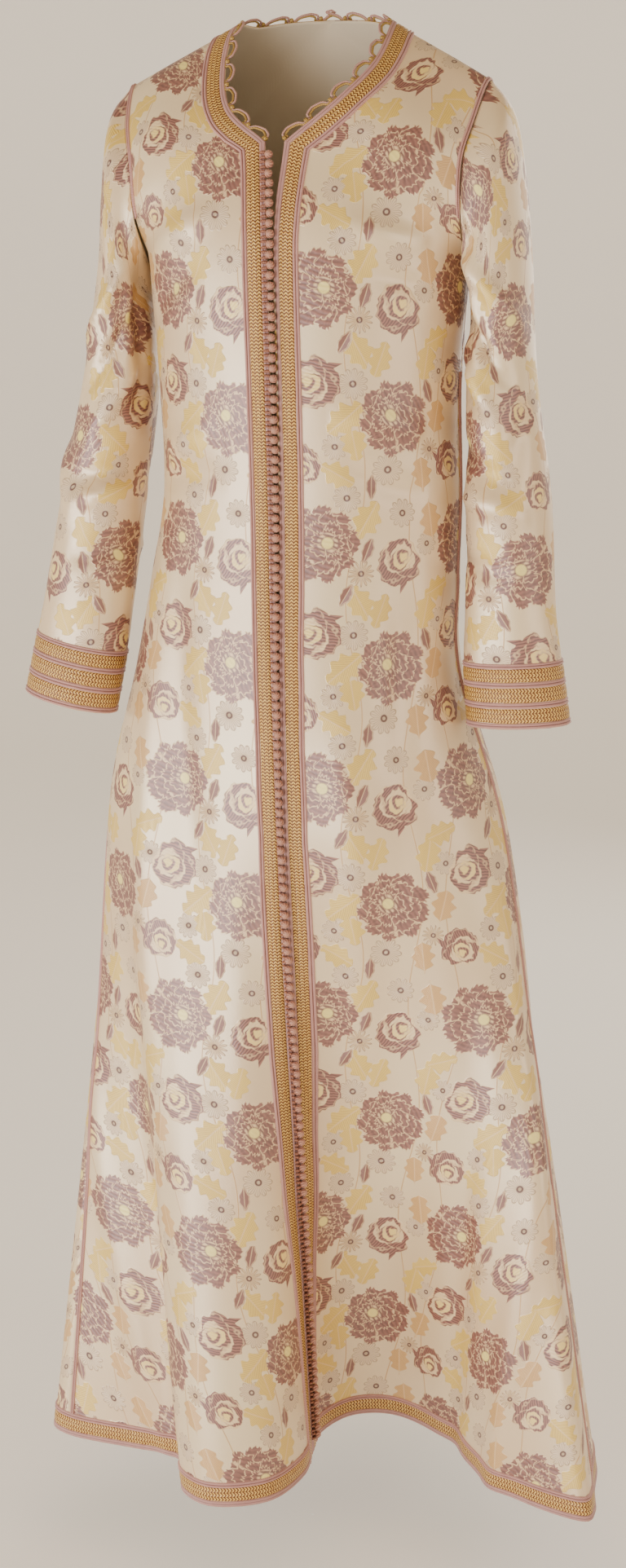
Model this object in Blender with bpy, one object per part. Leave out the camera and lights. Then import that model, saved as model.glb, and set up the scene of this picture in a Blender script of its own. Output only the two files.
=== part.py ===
"""Moroccan kaftan, worn: a full-length brocade robe that buttons down the centre front.

Metres, +Z up. The wearer faces -Y and the wearer's left is +X. The origin is
between the two high shoulder points, where the shoulders carry the robe.

Every panel is a smooth surface with two readings: "across" runs from 0 at the
centre line or neck edge to 1 at the armhole or side seam, and "down" counts the
key rows of the tables below, from the shoulder seam to the hem. Bands, cords
and edgings are strips made from the points of the panel they lie on.
"""
import math
from collections import namedtuple

import bpy
import bmesh
from mathutils import Vector

# ---- driving sizes -------------------------------------------------------
WALL = 0.0015               # thickness of the lined brocade
GAP = 0.0003                # air between pieces that touch
SEAM = 0.0006               # air between two panels at a seam
SLEEVE_GAP = 0.0024         # the sleeve's first ring stands this far off the armhole
HEM_Z = -1.430              # lowest level of the skirt
CORD_WIDTH = 0.0056         # a pair of pink cords, side by side
CORD_HEIGHT = 0.0016
BRAID_WIDTH = 0.0132        # one row of gold braid
BRAID_HEIGHT = 0.0010
PICOT_REACH = 0.0100        # how far the scalloped edging stands into the neck opening
SIDE_CORD_WIDTH = 0.0046
BUTTON_RADIUS = 0.0040
BUTTON_PITCH = 0.0093
BUTTON_LIFT = 0.0046        # least height of a button's centre above the fronts
BUTTON_LIFT_CLOSED = 0.0063  # its height where the front edges meet
BUTTON_FROM_EDGE = 0.0045   # where the fronts gape, the buttons keep to the right edge
BUTTON_WAIST = 0.0016       # the cord between two buttons
LOOP_BASE = 0.0024          # the loop braid lies on the right front's inner cords
LOOP_HEIGHT = 0.0008
LOOP_INNER = 0.20           # share of the inner cords' width
LOOP_OUTER = 0.85
OPENING_WIDTH = 0.0018      # each front edge stands back this far where the closure gapes
OPENING_ROW = 10.75         # the key row where it gapes most
OPENING_REACH = 0.35

RIGHT = -1
LEFT = 1

# ---- the cut, as worn ----------------------------------------------------
# A row of the upper body: its end at the neck edge or centre line, its end at
# the armhole, how far it wraps round (1 is a quarter turn) and how far it
# swells outwards. x is measured away from the centre.
TopRow = namedtuple("TopRow", "inner_x inner_y inner_z outer_x outer_y outer_z wrap swell")
TOP = {
    ("front", RIGHT): (
        TopRow(.0760, .0000, .0000, .1820, .0000, -.0520, .30, .000),     # shoulder seam
        TopRow(.0750, -.0350, -.0400, .1780, -.0300, -.0860, .40, .004),  # collar bone
        TopRow(.0600, -.0640, -.0790, .1680, -.0480, -.1270, .60, .008),  # neck curve
        TopRow(.0190, -.0860, -.1095, .1610, -.0510, -.1780, .80, .006),  # notch
        TopRow(.0095, -.1120, -.1950, .1600, .0050, -.2320, 1.0, .008),   # underarm
    ),
    ("front", LEFT): (
        TopRow(.0760, .0000, .0000, .1730, .0000, -.0530, .30, .000),
        TopRow(.0700, -.0400, -.0370, .1640, -.0310, -.0930, .40, .004),
        TopRow(.0440, -.0670, -.0700, .1570, -.0480, -.1300, .60, .008),
        TopRow(-.0010, -.0860, -.1095, .1570, -.0500, -.1800, .80, .006),
        TopRow(-.0015, -.1120, -.1950, .1520, .0050, -.2320, 1.0, .008),
    ),
    ("back", RIGHT): (
        TopRow(.0760, .0000, .0000, .1820, .0000, -.0520, .30, .000),     # shoulder seam
        TopRow(.0640, .0320, .0030, .1790, .0320, -.0880, .40, .008),     # side of the neck
        TopRow(.0350, .0490, .0080, .1720, .0560, -.1320, .50, .014),     # back of the neck
        TopRow(.0000, .0580, .0100, .1650, .0560, -.1830, .60, .020),     # neck, centre back
        TopRow(.0000, .0880, -.1500, .1600, .0050, -.2320, 1.0, .008),    # underarm
    ),
    ("back", LEFT): (
        TopRow(.0760, .0000, .0000, .1730, .0000, -.0530, .30, .000),
        TopRow(.0640, .0320, .0030, .1710, .0320, -.0880, .40, .008),
        TopRow(.0350, .0490, .0080, .1660, .0560, -.1320, .50, .014),
        TopRow(.0000, .0580, .0100, .1600, .0560, -.1830, .60, .020),
        TopRow(.0000, .0880, -.1500, .1520, .0050, -.2320, 1.0, .008),
    ),
}
NOTCH_ROW = 3
UNDERARM_ROW = 4

# A level section of the body below the arms: half widths to each side seam,
# front and back depth, where the side seams lie, the line that the front edges
# follow and how far each of them stands from it.
Section = namedtuple("Section", "z right left front back seam_right seam_left edge_x stand")
BODY = (
    Section(-.330, .153, .146, -.120, .100, .005, .005, .000, .0038),    # ribs
    Section(-.435, .149, .148, -.110, .095, .000, .005, -.001, .0034),   # waist
    Section(-.520, .162, .146, -.112, .110, -.005, .005, .000, .0024),   # high hip
    Section(-.610, .178, .149, -.118, .128, -.010, .005, .002, .0010),   # hip
    Section(-.760, .208, .196, -.124, .150, -.020, .000, .008, .0000),   # thigh
)
SKIRT_STEPS = 3             # key rows from the thigh to the hem, the last one being the hem

# The hem as it hangs: a row for each fold's crest or hollow, from the right
# front edge round the back to the left front edge. rise lifts it off its lowest level.
HemRow = namedtuple("HemRow", "x y rise")
HEM_RIGHT_FRONT = (
    HemRow(.0165, -.0550, .002),    # front edge
    HemRow(.0220, -.1050, .000),
    HemRow(.0040, -.1640, .000),
    HemRow(-.0500, -.1900, .000),   # crest
    HemRow(-.0950, -.1580, .000),
    HemRow(-.1120, -.1050, .002),   # hollow
    HemRow(-.1630, -.0980, .000),
    HemRow(-.2420, -.0900, .000),   # side seam
)
HEM_RIGHT_BACK = (
    HemRow(-.2680, -.0600, .000),   # crest
    HemRow(-.2450, .0060, .002),
    HemRow(-.2160, .0480, .004),    # hollow
    HemRow(-.2320, .1020, .000),
    HemRow(-.1900, .1560, .000),    # crest
    HemRow(-.1360, .1500, .004),    # hollow
    HemRow(-.0920, .2080, .000),
    HemRow(-.0400, .2340, .000),    # crest
    HemRow(.0060, .2020, .003),     # centre back
)
HEM_LEFT_BACK = (
    HemRow(.0500, .2360, .000),     # crest
    HemRow(.1020, .2120, .000),
    HemRow(.1280, .1660, .004),     # hollow
    HemRow(.1820, .1820, .000),
    HemRow(.2260, .1480, .000),     # crest
    HemRow(.2360, .0940, .004),     # hollow
    HemRow(.2720, .0620, .000),
    HemRow(.3020, .0080, .000),     # crest
    HemRow(.3120, -.0520, .000),    # side seam
)
HEM_LEFT_FRONT = (
    HemRow(.3200, -.0920, .000),
    HemRow(.3120, -.1120, .000),    # crest
    HemRow(.2580, -.0960, .000),
    HemRow(.2080, -.0660, .001),
    HemRow(.1620, -.0180, .005),
    HemRow(.1220, .0140, .011),
    HemRow(.0780, .0260, .015),     # hollow
    HemRow(.0380, .0140, .013),
    HemRow(.0150, -.0180, .006),
    HemRow(.0165, -.0550, .002),    # front edge
)

# A sleeve, in rings: the ring's outermost point, its point next to the body,
# where its middle lies front to back and half its depth. x is away from the centre.
Ring = namedtuple("Ring", "outer_x outer_z inner_x inner_z y depth")
SLEEVE_RIGHT_RINGS = (
    Ring(.2000, -.078, .1630, -.244, .002, .057),    # cap
    Ring(.2070, -.140, .1650, -.254, .002, .060),
    Ring(.2130, -.215, .1630, -.275, .000, .056),    # upper arm
    Ring(.2310, -.325, .1620, -.345, -.004, .052),
    Ring(.2540, -.435, .1720, -.450, -.012, .047),   # elbow
    Ring(.2700, -.540, .1810, -.555, -.028, .040),
    Ring(.2760, -.575, .1840, -.592, -.034, .035),   # wrist
    Ring(.2880, -.640, .1950, -.660, -.042, .034),   # cuff edge
)
SLEEVE_LEFT_RINGS = (
    Ring(.1940, -.082, .1560, -.244, .002, .057),    # cap
    Ring(.2050, -.140, .1570, -.254, .002, .060),
    Ring(.2130, -.215, .1580, -.275, .000, .056),    # upper arm
    Ring(.2210, -.325, .1560, -.335, -.004, .052),
    Ring(.2380, -.435, .1575, -.445, -.008, .047),   # elbow
    Ring(.2460, -.540, .1590, -.545, -.014, .040),
    Ring(.2530, -.585, .1590, -.590, -.018, .036),   # wrist
    Ring(.2640, -.650, .1650, -.655, -.024, .034),   # cuff edge
)

# ---- finishes: colour, roughness, metallic -------------------------------
BROCADE = ("cream_brocade", (.72, .62, .49), .50, .15)
PINK_CORD = ("dusty_pink_cord", (.54, .30, .29), .60, .10)
GOLD_BRAID = ("gold_braid", (.58, .36, .10), .38, .65)
LOOP_CORD = ("rose_brown_cord", (.26, .12, .09), .55, .10)
BUTTON_CORD = ("rose_button_cord", (.49, .24, .17), .50, .15)
PICOT_LACE = ("antique_gold_edging", (.40, .24, .12), .50, .30)


# ---- small tools ---------------------------------------------------------
def clear_scene():
    for old in list(bpy.data.objects):
        bpy.data.objects.remove(old, do_unlink=True)


def finish_material(finish):
    """A Principled material for this finish, made once."""
    name, colour, roughness, metallic = finish
    material = bpy.data.materials.get(name)
    if material is None:
        material = bpy.data.materials.new(name)
        material.use_nodes = True
        shader = material.node_tree.nodes["Principled BSDF"]
        shader.inputs["Base Color"].default_value = (*colour, 1.0)
        shader.inputs["Roughness"].default_value = roughness
        shader.inputs["Metallic"].default_value = metallic
        material.diffuse_color = (*colour, 1.0)
    return material


def add_object(name, mesh_build, finish):
    """Turns a finished bmesh into a smooth-shaded object with its material."""
    mesh = bpy.data.meshes.new(name)
    mesh_build.to_mesh(mesh)
    mesh_build.free()
    mesh.shade_smooth()
    mesh.set_sharp_from_angle(angle=math.radians(40))
    mesh.materials.append(finish_material(finish))
    piece = bpy.data.objects.new(name, mesh)
    bpy.context.collection.objects.link(piece)
    return piece


def smooth_curve(points, t, before=None):
    """The point at t on the smooth curve through points, t counted in points."""
    last = len(points) - 1
    start = min(max(int(t), 0), last - 1)
    u = t - start
    here = points[start]
    there = points[start + 1]
    if start > 0:
        behind = points[start - 1]
    else:
        behind = before if before is not None else 2 * here - there
    ahead = points[start + 2] if start + 2 <= last else 2 * there - here
    bend = 2 * behind - 5 * here + 4 * there - ahead
    twist = 3 * here - behind - 3 * there + ahead
    return here + 0.5 * u * ((there - behind) + u * (bend + u * twist))


def evenly_along(points, first, last, samples=40):
    """Points from first to last on the smooth curve through points, and the share of the way."""
    count = samples * abs(last - first)
    track = [smooth_curve(points, first + (last - first) * i / count) for i in range(count + 1)]
    reach = [0.0]
    for a, b in zip(track, track[1:]):
        reach.append(reach[-1] + (b - a).length)
    return [r / reach[-1] for r in reach], track


def at_reach(curve, s):
    """The point a share s of the way along a curve from evenly_along."""
    reach, track = curve
    low, high = 0, len(reach) - 1
    while high - low > 1:
        middle = (low + high) // 2
        if reach[middle] <= s:
            low = middle
        else:
            high = middle
    share = (s - reach[low]) / (reach[high] - reach[low])
    return track[low].lerp(track[high], share)


# ---- the panels' surfaces ------------------------------------------------
def hem_curves():
    """The hem's four stretches, each read from its centre line or front edge to its side seam."""
    right_seam = len(HEM_RIGHT_FRONT) - 1
    centre_back = right_seam + len(HEM_RIGHT_BACK)
    left_seam = centre_back + len(HEM_LEFT_BACK)
    front_edge = left_seam + len(HEM_LEFT_FRONT)
    rows = HEM_RIGHT_FRONT + HEM_RIGHT_BACK + HEM_LEFT_BACK + HEM_LEFT_FRONT
    ring = [Vector((row.x, row.y, HEM_Z + row.rise)) for row in rows]
    return {
        ("front", RIGHT): evenly_along(ring, 0, right_seam),
        ("back", RIGHT): evenly_along(ring, centre_back, right_seam),
        ("back", LEFT): evenly_along(ring, centre_back, left_seam),
        ("front", LEFT): evenly_along(ring, front_edge, left_seam),
    }


HEM = hem_curves()
TOP_ROWS = 5
LAST_ROW = TOP_ROWS + len(BODY) + SKIRT_STEPS - 1


def across_row(inner, outer, wrap, s):
    """A point on a row that leaves inner square to the centre and wraps round to outer."""
    full = wrap * math.pi / 2
    sideways = math.sin(full * s) / math.sin(full)
    inwards = (1 - math.cos(full * s)) / (1 - math.cos(full))
    x = inner.x + (outer.x - inner.x) * sideways
    y = inner.y + (outer.y - inner.y) * inwards
    z = inner.z + (outer.z - inner.z) * s
    return Vector((x, y, z))


def top_point(face, side, row, s):
    r = TOP[face, side][row]
    inner = Vector((side * r.inner_x, r.inner_y, r.inner_z))
    outer = Vector((side * r.outer_x, r.outer_y, r.outer_z))
    point = across_row(inner, outer, r.wrap, s)
    outwards = -1 if face == "front" else 1
    point.y += outwards * r.swell * math.sin(math.pi * s)
    return point


def body_point(face, side, section, s):
    depth = section.front if face == "front" else section.back
    seam_y = section.seam_right if side == RIGHT else section.seam_left
    half = section.right if side == RIGHT else section.left
    stand = side * section.stand if face == "front" else 0.0
    inner = Vector((section.edge_x + stand, depth, section.z))
    outer = Vector((side * half, seam_y, section.z))
    return across_row(inner, outer, 1.0, s)


def key_points(face, side, s):
    """The column of key points at s, one for each key row, shoulder to hem."""
    column = [top_point(face, side, row, s) for row in range(TOP_ROWS)]
    column += [body_point(face, side, section, s) for section in BODY]
    thigh = column[-1]
    hem = at_reach(HEM[face, side], s)
    column += [thigh.lerp(hem, step / SKIRT_STEPS) for step in range(1, SKIRT_STEPS + 1)]
    return column


def over_shoulder(face, side, s):
    """The key point just over the shoulder seam, on the other face."""
    other = "back" if face == "front" else "front"
    return top_point(other, side, 1, s)


def edge_point(face, side, t):
    """The neck edge down to the notch or neck centre, then the centre line, with a true corner."""
    column = key_points(face, side, 0.0)
    if t <= NOTCH_ROW:
        return smooth_curve(column[:NOTCH_ROW + 1], t, over_shoulder(face, side, 0.0))
    return smooth_curve(column[NOTCH_ROW:], t - NOTCH_ROW)


def side_point(face, side, t):
    """The armhole edge down to the underarm, then the side seam, with a true corner."""
    column = key_points(face, side, 1.0)
    if t <= UNDERARM_ROW:
        return smooth_curve(column[:UNDERARM_ROW + 1], t, over_shoulder(face, side, 1.0))
    return smooth_curve(column[UNDERARM_ROW:], t - UNDERARM_ROW)


def plain_surface(face, side, s, t):
    """The panel before its edges are trued."""
    return smooth_curve(key_points(face, side, s), t, over_shoulder(face, side, s))


def surface(face, side, s, t):
    """The panel's outer surface at s across and key row t down."""
    point = plain_surface(face, side, s, t)
    point += (edge_point(face, side, t) - plain_surface(face, side, 0.0, t)) * (1 - s) ** 3
    point += (side_point(face, side, t) - plain_surface(face, side, 1.0, t)) * s ** 6
    return point


def surface_normal(face, side, s, t):
    """The outward normal of a panel."""
    step = 0.004
    low_s, high_s = max(s - step, 0.0), min(s + step, 1.0)
    low_t, high_t = max(t - 0.02, 0.0), min(t + 0.02, LAST_ROW)
    over = surface(face, side, high_s, t) - surface(face, side, low_s, t)
    down = surface(face, side, s, high_t) - surface(face, side, s, low_t)
    normal = over.cross(down).normalized()
    facing = 1 if (face == "front") == (side == RIGHT) else -1
    return normal * facing


def edge_slant(face, side, t):
    """How squarely the row at t leaves the neck edge or centre line, 1 being square."""
    row = (surface(face, side, 0.03, t) - surface(face, side, 0.0, t)).normalized()
    slants = []
    for a, b in ((t - 0.02, t), (t, t + 0.02)):
        if a >= 0 and b <= LAST_ROW:
            run = (edge_point(face, side, b) - edge_point(face, side, a)).normalized()
            slants.append(row.cross(run).length)
    return sum(slants) / len(slants)


def in_from_edge(face, side, t, distance):
    """The reading across at this distance from the neck edge or centre line."""
    speed = (surface(face, side, 0.05, t) - surface(face, side, 0.0, t)).length / 0.05
    return distance / edge_slant(face, side, t) / speed


def in_from_side(face, side, t, distance):
    """The reading across at this distance from the armhole or side seam."""
    speed = (surface(face, side, 1.0, t) - surface(face, side, 0.97, t)).length / 0.03
    return 1 - distance / speed


# ---- grids of panel points -----------------------------------------------
# How far the lines of a band lie from its edge: a cord, a braid and a cord.
BAND_MARKS = (0.0, CORD_WIDTH, CORD_WIDTH + BRAID_WIDTH, 2 * CORD_WIDTH + BRAID_WIDTH)
STEPS_PER_ROW = (2, 2, 3, 3, 1, 1, 1, 1, 2, 2, 2, 2)    # lines of the grid to each key row
COLUMNS = 7                 # columns of a half between the band and the side cord
SHOULDER_READING = 0.8 * SEAM / -TOP["front", RIGHT][1].inner_y    # just off the seam
SHOULDER_ROLL = 0.12        # from a panel's first line to its second, over the shoulder


def row_readings():
    """The rows of a panel grid, ending with the lines of the hem band."""
    rows = []
    for key, steps in enumerate(STEPS_PER_ROW):
        rows += [key + step / steps for step in range(steps)]
    rows[:1] = [SHOULDER_READING, SHOULDER_READING + SHOULDER_ROLL]
    skirt_row = (BODY[-1].z - HEM_Z) / SKIRT_STEPS
    rows += [LAST_ROW - mark / skirt_row for mark in reversed(BAND_MARKS)]
    return rows


ROWS = row_readings()
HEM_LINES = len(BAND_MARKS)


def closure_gap(t):
    """How far a front edge is drawn back from its line at row t."""
    reach = abs(t - OPENING_ROW) / OPENING_REACH
    gape = max(0.0, 1 - reach * reach) ** 2
    return SEAM / 2 + OPENING_WIDTH * gape


def edge_readings(face, side, t):
    """Readings across of the lines that the band beside the edge is made on."""
    back = closure_gap(t) if face == "front" and t > NOTCH_ROW else 0.0
    return [in_from_edge(face, side, t, mark + back) for mark in BAND_MARKS]


def panel_grid(face, side):
    """Rows of (point, normal) from the edge to the side, over one half of the robe."""
    grid = []
    for t in ROWS:
        marks = edge_readings(face, side, t)
        side_cord = in_from_side(face, side, t, SIDE_CORD_WIDTH + SEAM / 2)
        side_edge = in_from_side(face, side, t, SEAM / 2)
        first = marks[-1]
        between = [first + (side_cord - first) * i / COLUMNS for i in range(1, COLUMNS)]
        readings = marks + between + [side_cord, side_edge]
        grid.append([(surface(face, side, s, t), surface_normal(face, side, s, t))
                     for s in readings])
    return grid


# ---- building solids -----------------------------------------------------
def add_quad(build, a, b, c, d):
    """A quad that starts at its shorter diagonal, where it will be split."""
    if (a.co - c.co).length <= (b.co - d.co).length:
        build.faces.new((a, b, c, d))
    else:
        build.faces.new((b, c, d, a))


def add_grid(build, grid, facing):
    """Adds a sheet of quads through a grid of points; facing turns it outwards."""
    lines = [[build.verts.new(point) for point, _ in row] for row in grid]
    for upper, lower in zip(lines, lines[1:]):
        for i in range(len(upper) - 1):
            corners = (upper[i], lower[i], lower[i + 1], upper[i + 1])
            add_quad(build, *(corners if facing > 0 else corners[::-1]))


def make_cloth(name, grids):
    """A panel from one or more grids that share their centre line, as a wall."""
    build = bmesh.new()
    for grid, facing in grids:
        add_grid(build, grid, facing)
    bmesh.ops.remove_doubles(build, verts=build.verts[:], dist=0.00002)
    piece = add_object(name, build, BROCADE)
    wall = piece.modifiers.new("wall", 'SOLIDIFY')
    wall.thickness = WALL
    wall.offset = -1
    wall.use_rim = True
    return piece


def make_strip(name, pairs, base, height, finish, closed=False, inset=GAP / 2):
    """A flat braid along pairs of panel points, standing from base to base + height."""
    build = bmesh.new()
    ribs = []
    for (a, a_normal), (b, b_normal) in pairs:
        nudge = (b - a).normalized() * inset
        near, far = a + nudge, b - nudge
        outline = (near + a_normal * base, far + b_normal * base,
                   far + b_normal * (base + height), near + a_normal * (base + height))
        ribs.append([build.verts.new(point) for point in outline])
    follow = list(zip(ribs, ribs[1:]))
    if closed:
        follow.append((ribs[-1], ribs[0]))
    else:
        build.faces.new(ribs[0][::-1])
        build.faces.new(ribs[-1])
    for one, two in follow:
        for i in range(4):
            j = (i + 1) % 4
            add_quad(build, one[i], one[j], two[j], two[i])
    bmesh.ops.recalc_face_normals(build, faces=build.faces[:])
    return add_object(name, build, finish)


def band_layers(prefix, lines, closed=False):
    """Makes a cord, a braid, a cord and so on, one between each two grid lines."""
    for i in range(len(lines) - 1):
        pairs = list(zip(lines[i], lines[i + 1]))
        if i % 2 == 0:
            make_strip(f"{prefix}_cord_{i // 2 + 1}", pairs, GAP, CORD_HEIGHT, PINK_CORD, closed)
        else:
            braid = f"{prefix}_braid_{i // 2 + 1}"
            make_strip(braid, pairs, GAP, BRAID_HEIGHT, GOLD_BRAID, closed)


def columns_of(grid, first, last, rows):
    """Lines down the grid, one for each column from first to last."""
    return [[grid[row][column] for row in rows] for column in range(first, last + 1)]


# ---- the robe ------------------------------------------------------------
def make_panels(grids):
    for side, word in ((RIGHT, "right"), (LEFT, "left")):
        make_cloth(f"front_{word}", [(grids["front", side], side)])
    make_cloth("back", [(grids["back", side], -side) for side in (RIGHT, LEFT)])


def make_front_bands(grids):
    """The band down each front edge, from the mitre at the notch to the hem."""
    notch = ROWS.index(NOTCH_ROW)
    for side, word in ((RIGHT, "right"), (LEFT, "left")):
        grid = grids["front", side]
        lines = columns_of(grid, 0, 3, range(notch, len(ROWS)))
        band_layers(f"front_{word}", [mitred(line) for line in lines])


def mitred(line):
    """The line with its first point drawn back, so that bands meet at the mitre with air between."""
    (start, normal), (following, _) = line[0], line[1]
    back = start + (following - start).normalized() * GAP
    return [(back, normal)] + line[1:]


def neck_lines(grids, first, last):
    """Grid lines round the neck, from the right notch over the back to the left notch."""
    notch = ROWS.index(NOTCH_ROW)
    lines = []
    for column in range(first, last + 1):
        up_right = [grids["front", RIGHT][row][column] for row in range(notch, -1, -1)]
        back_right = [grids["back", RIGHT][row][column] for row in range(0, notch + 1)]
        back_left = [grids["back", LEFT][row][column] for row in range(notch, -1, -1)]
        middle = (back_right.pop(), back_left.pop(0))
        if column == 0:
            back_right.append((middle[0][0], (middle[0][1] + middle[1][1]).normalized()))
        else:
            back_right += middle
        down_left = [grids["front", LEFT][row][column] for row in range(0, notch + 1)]
        lines.append(up_right + back_right + back_left + down_left)
    return lines


def make_neck(grids):
    lines = [ended(line) for line in neck_lines(grids, 0, 3)]
    band_layers("neck", lines)
    pairs = []
    for (edge, normal), (second, _) in zip(lines[0], lines[1]):
        inwards = (edge - second).normalized()
        pairs.append(((edge + inwards * (PICOT_REACH + GAP), normal),
                      (edge + inwards * GAP, normal)))
    make_strip("neck_picot", pairs, 0.0, BRAID_HEIGHT, PICOT_LACE)


def make_hem(grids):
    """The hem band, from the band of one front edge round to that of the other."""
    lines = []
    for row in range(len(ROWS) - HEM_LINES, len(ROWS)):
        right_front = grids["front", RIGHT][row][3:]
        right_back = grids["back", RIGHT][row][:0:-1]
        left_back = grids["back", LEFT][row]
        left_front = grids["front", LEFT][row][:2:-1]
        lines.append(right_front + right_back + left_back + left_front)
    band_layers("hem", [ended(line) for line in lines])


def ended(line):
    """The line with both ends drawn back from the front bands."""
    return mitred(mitred(line)[::-1])[::-1]


def make_seam_cords(grids):
    """Pink cord on the armholes, over the shoulder, and on the side seams below the arms."""
    low = ROWS.index(UNDERARM_ROW - 1)
    ribs = ROWS.index(UNDERARM_ROW + 1)
    for side, word in ((RIGHT, "right"), (LEFT, "left")):
        front, back = grids["front", side], grids["back", side]
        lines = [[front[row][column] for row in range(low, -1, -1)]
                 + [back[row][column] for row in range(0, low)] for column in (-2, -1)]
        pairs = list(zip(*lines))
        make_strip(f"armhole_cord_{word}", pairs, GAP, CORD_HEIGHT, PINK_CORD)
        rows = range(ribs, len(ROWS) - HEM_LINES + 1)
        lines = [mitred(line[::-1]) for line in columns_of(front, -2 + len(front[0]),
                                                           -1 + len(front[0]), rows)]
        make_strip(f"side_cord_{word}", list(zip(*lines)), GAP, CORD_HEIGHT, PINK_CORD)


def closure_line(grids):
    """Points between the two front edges for the buttons, normals and how far the edges gape."""
    notch = ROWS.index(NOTCH_ROW)
    line = []
    for row in range(notch, len(ROWS)):
        right, right_normal = grids["front", RIGHT][row][0]
        left, left_normal = grids["front", LEFT][row][0]
        normal = (right_normal + left_normal).normalized()
        apart = (left - right).length
        share = min(0.5, BUTTON_FROM_EDGE / apart)
        line.append((right.lerp(left, share), normal, apart))
    return line


def make_buttons(grids):
    """The button row: round buttons worked one after another on a single cord."""
    line = closure_line(grids)
    reach = [0.0]
    for one, two in zip(line, line[1:]):
        reach.append(reach[-1] + (two[0] - one[0]).length)
    half = BUTTON_PITCH / 2
    count = int((reach[-1] - 2 * BUTTON_PITCH) / BUTTON_PITCH)
    build = bmesh.new()
    ribs = []
    for i in range(2 * count + 1):
        along = BUTTON_PITCH + half * i
        row = max(k for k in range(len(reach) - 1) if reach[k] <= along)
        share = (along - reach[row]) / (reach[row + 1] - reach[row])
        middle = line[row][0].lerp(line[row + 1][0], share)
        normal = line[row][1].lerp(line[row + 1][1], share).normalized()
        down = (line[row + 1][0] - line[row][0]).normalized()
        over = normal.cross(down)
        radius = BUTTON_RADIUS if i % 2 else BUTTON_WAIST
        apart = line[row][2] + (line[row + 1][2] - line[row][2]) * share
        lift = max(BUTTON_LIFT, BUTTON_LIFT_CLOSED - apart / 4)
        centre = middle + normal * lift
        spokes = (over, normal, -over, -normal)
        ribs.append([build.verts.new(centre + spoke * radius) for spoke in spokes])
    build.faces.new(ribs[0])
    build.faces.new(ribs[-1][::-1])
    for one, two in zip(ribs, ribs[1:]):
        for i in range(4):
            j = (i + 1) % 4
            build.faces.new((one[i], two[i], two[j], one[j]))
    bmesh.ops.recalc_face_normals(build, faces=build.faces[:])
    add_object("button_row", build, BUTTON_CORD)


def make_loops(grids):
    """The braid of loops, on the right front beside the buttons."""
    grid = grids["front", RIGHT]
    pairs = []
    for row in range(ROWS.index(NOTCH_ROW) + 1, len(ROWS)):
        (edge, edge_normal), (second, second_normal) = grid[row][0:2]
        pairs.append(tuple((edge.lerp(second, share), edge_normal.lerp(second_normal, share))
                           for share in (LOOP_INNER, LOOP_OUTER)))
    make_strip("button_loops", pairs, LOOP_BASE, LOOP_HEIGHT, LOOP_CORD)


# ---- sleeves -------------------------------------------------------------
def armhole_start(face, side, t):
    """Where the sleeve begins: off the armhole edge, and off the body's side under the arm."""
    edge = surface(face, side, 1.0, t)
    away = (edge - surface(face, side, 0.98, t)).normalized()
    normal = surface_normal(face, side, 1.0, t)
    under = min(max((t - 1.8) / 1.2, 0.0), 1.0)
    direction = (away * (1 - under) + normal * under).normalized()
    return edge + direction * SLEEVE_GAP


def ring_point(side, ring, turn):
    """A point on a sleeve ring; turn is 0 on the outside of the arm and grows to the front."""
    outer = Vector((side * ring.outer_x, ring.y, ring.outer_z))
    inner = Vector((side * ring.inner_x, ring.y, ring.inner_z))
    middle = (outer + inner) / 2
    point = middle + (outer - middle) * math.cos(turn)
    point.y -= ring.depth * math.sin(turn)
    return point


def sleeve_column(side, face, t):
    """The key points down a sleeve that starts at this place on the armhole."""
    rings = SLEEVE_RIGHT_RINGS if side == RIGHT else SLEEVE_LEFT_RINGS
    turn = math.pi * t / UNDERARM_ROW * (1 if face == "front" else -1)
    return [armhole_start(face, side, t)] + [ring_point(side, ring, turn) for ring in rings]


# How far the lines of the cuff lie from its edge: four cords and three braids between them.
CUFF_MARKS = [0.0]
for layer in range(7):
    CUFF_MARKS.append(CUFF_MARKS[-1] + (BRAID_WIDTH if layer % 2 else CORD_WIDTH))
SLEEVE_STEPS = (2, 1, 1, 1, 2, 1, 1)    # rings of the grid to each key ring
SLEEVE_COLUMNS = 8          # on each side of the arm


def sleeve_grid(side):
    """Rings of (point, normal) round a sleeve, from the armhole to the cuff's edge."""
    share = UNDERARM_ROW / SLEEVE_COLUMNS
    turns = [("front", share * i) for i in range(SLEEVE_COLUMNS + 1)]
    turns += [("back", share * i) for i in range(SLEEVE_COLUMNS - 1, 0, -1)]
    columns = [sleeve_column(side, face, t) for face, t in turns]
    last = len(columns[0]) - 1
    readings = []
    for key, steps in enumerate(SLEEVE_STEPS):
        readings += [key + step / steps for step in range(steps)]
    grid = []
    for u in readings:
        grid.append([smooth_curve(column, u) for column in columns])
    for mark in reversed(CUFF_MARKS):
        ring = []
        for column in columns:
            run = (column[last] - column[last - 1]).length
            ring.append(smooth_curve(column, last - mark / run))
        grid.append(ring)
    return with_normals(grid, side)


def with_normals(grid, side):
    """Adds the outward normal to each point of a grid of closed rings."""
    finished = []
    for i, ring in enumerate(grid):
        above = grid[max(i - 1, 0)]
        below = grid[min(i + 1, len(grid) - 1)]
        count = len(ring)
        line = []
        for j, point in enumerate(ring):
            over = ring[(j + 1) % count] - ring[j - 1]
            down = below[j] - above[j]
            line.append((point, over.cross(down).normalized() * side))
        finished.append(line)
    return finished


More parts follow.
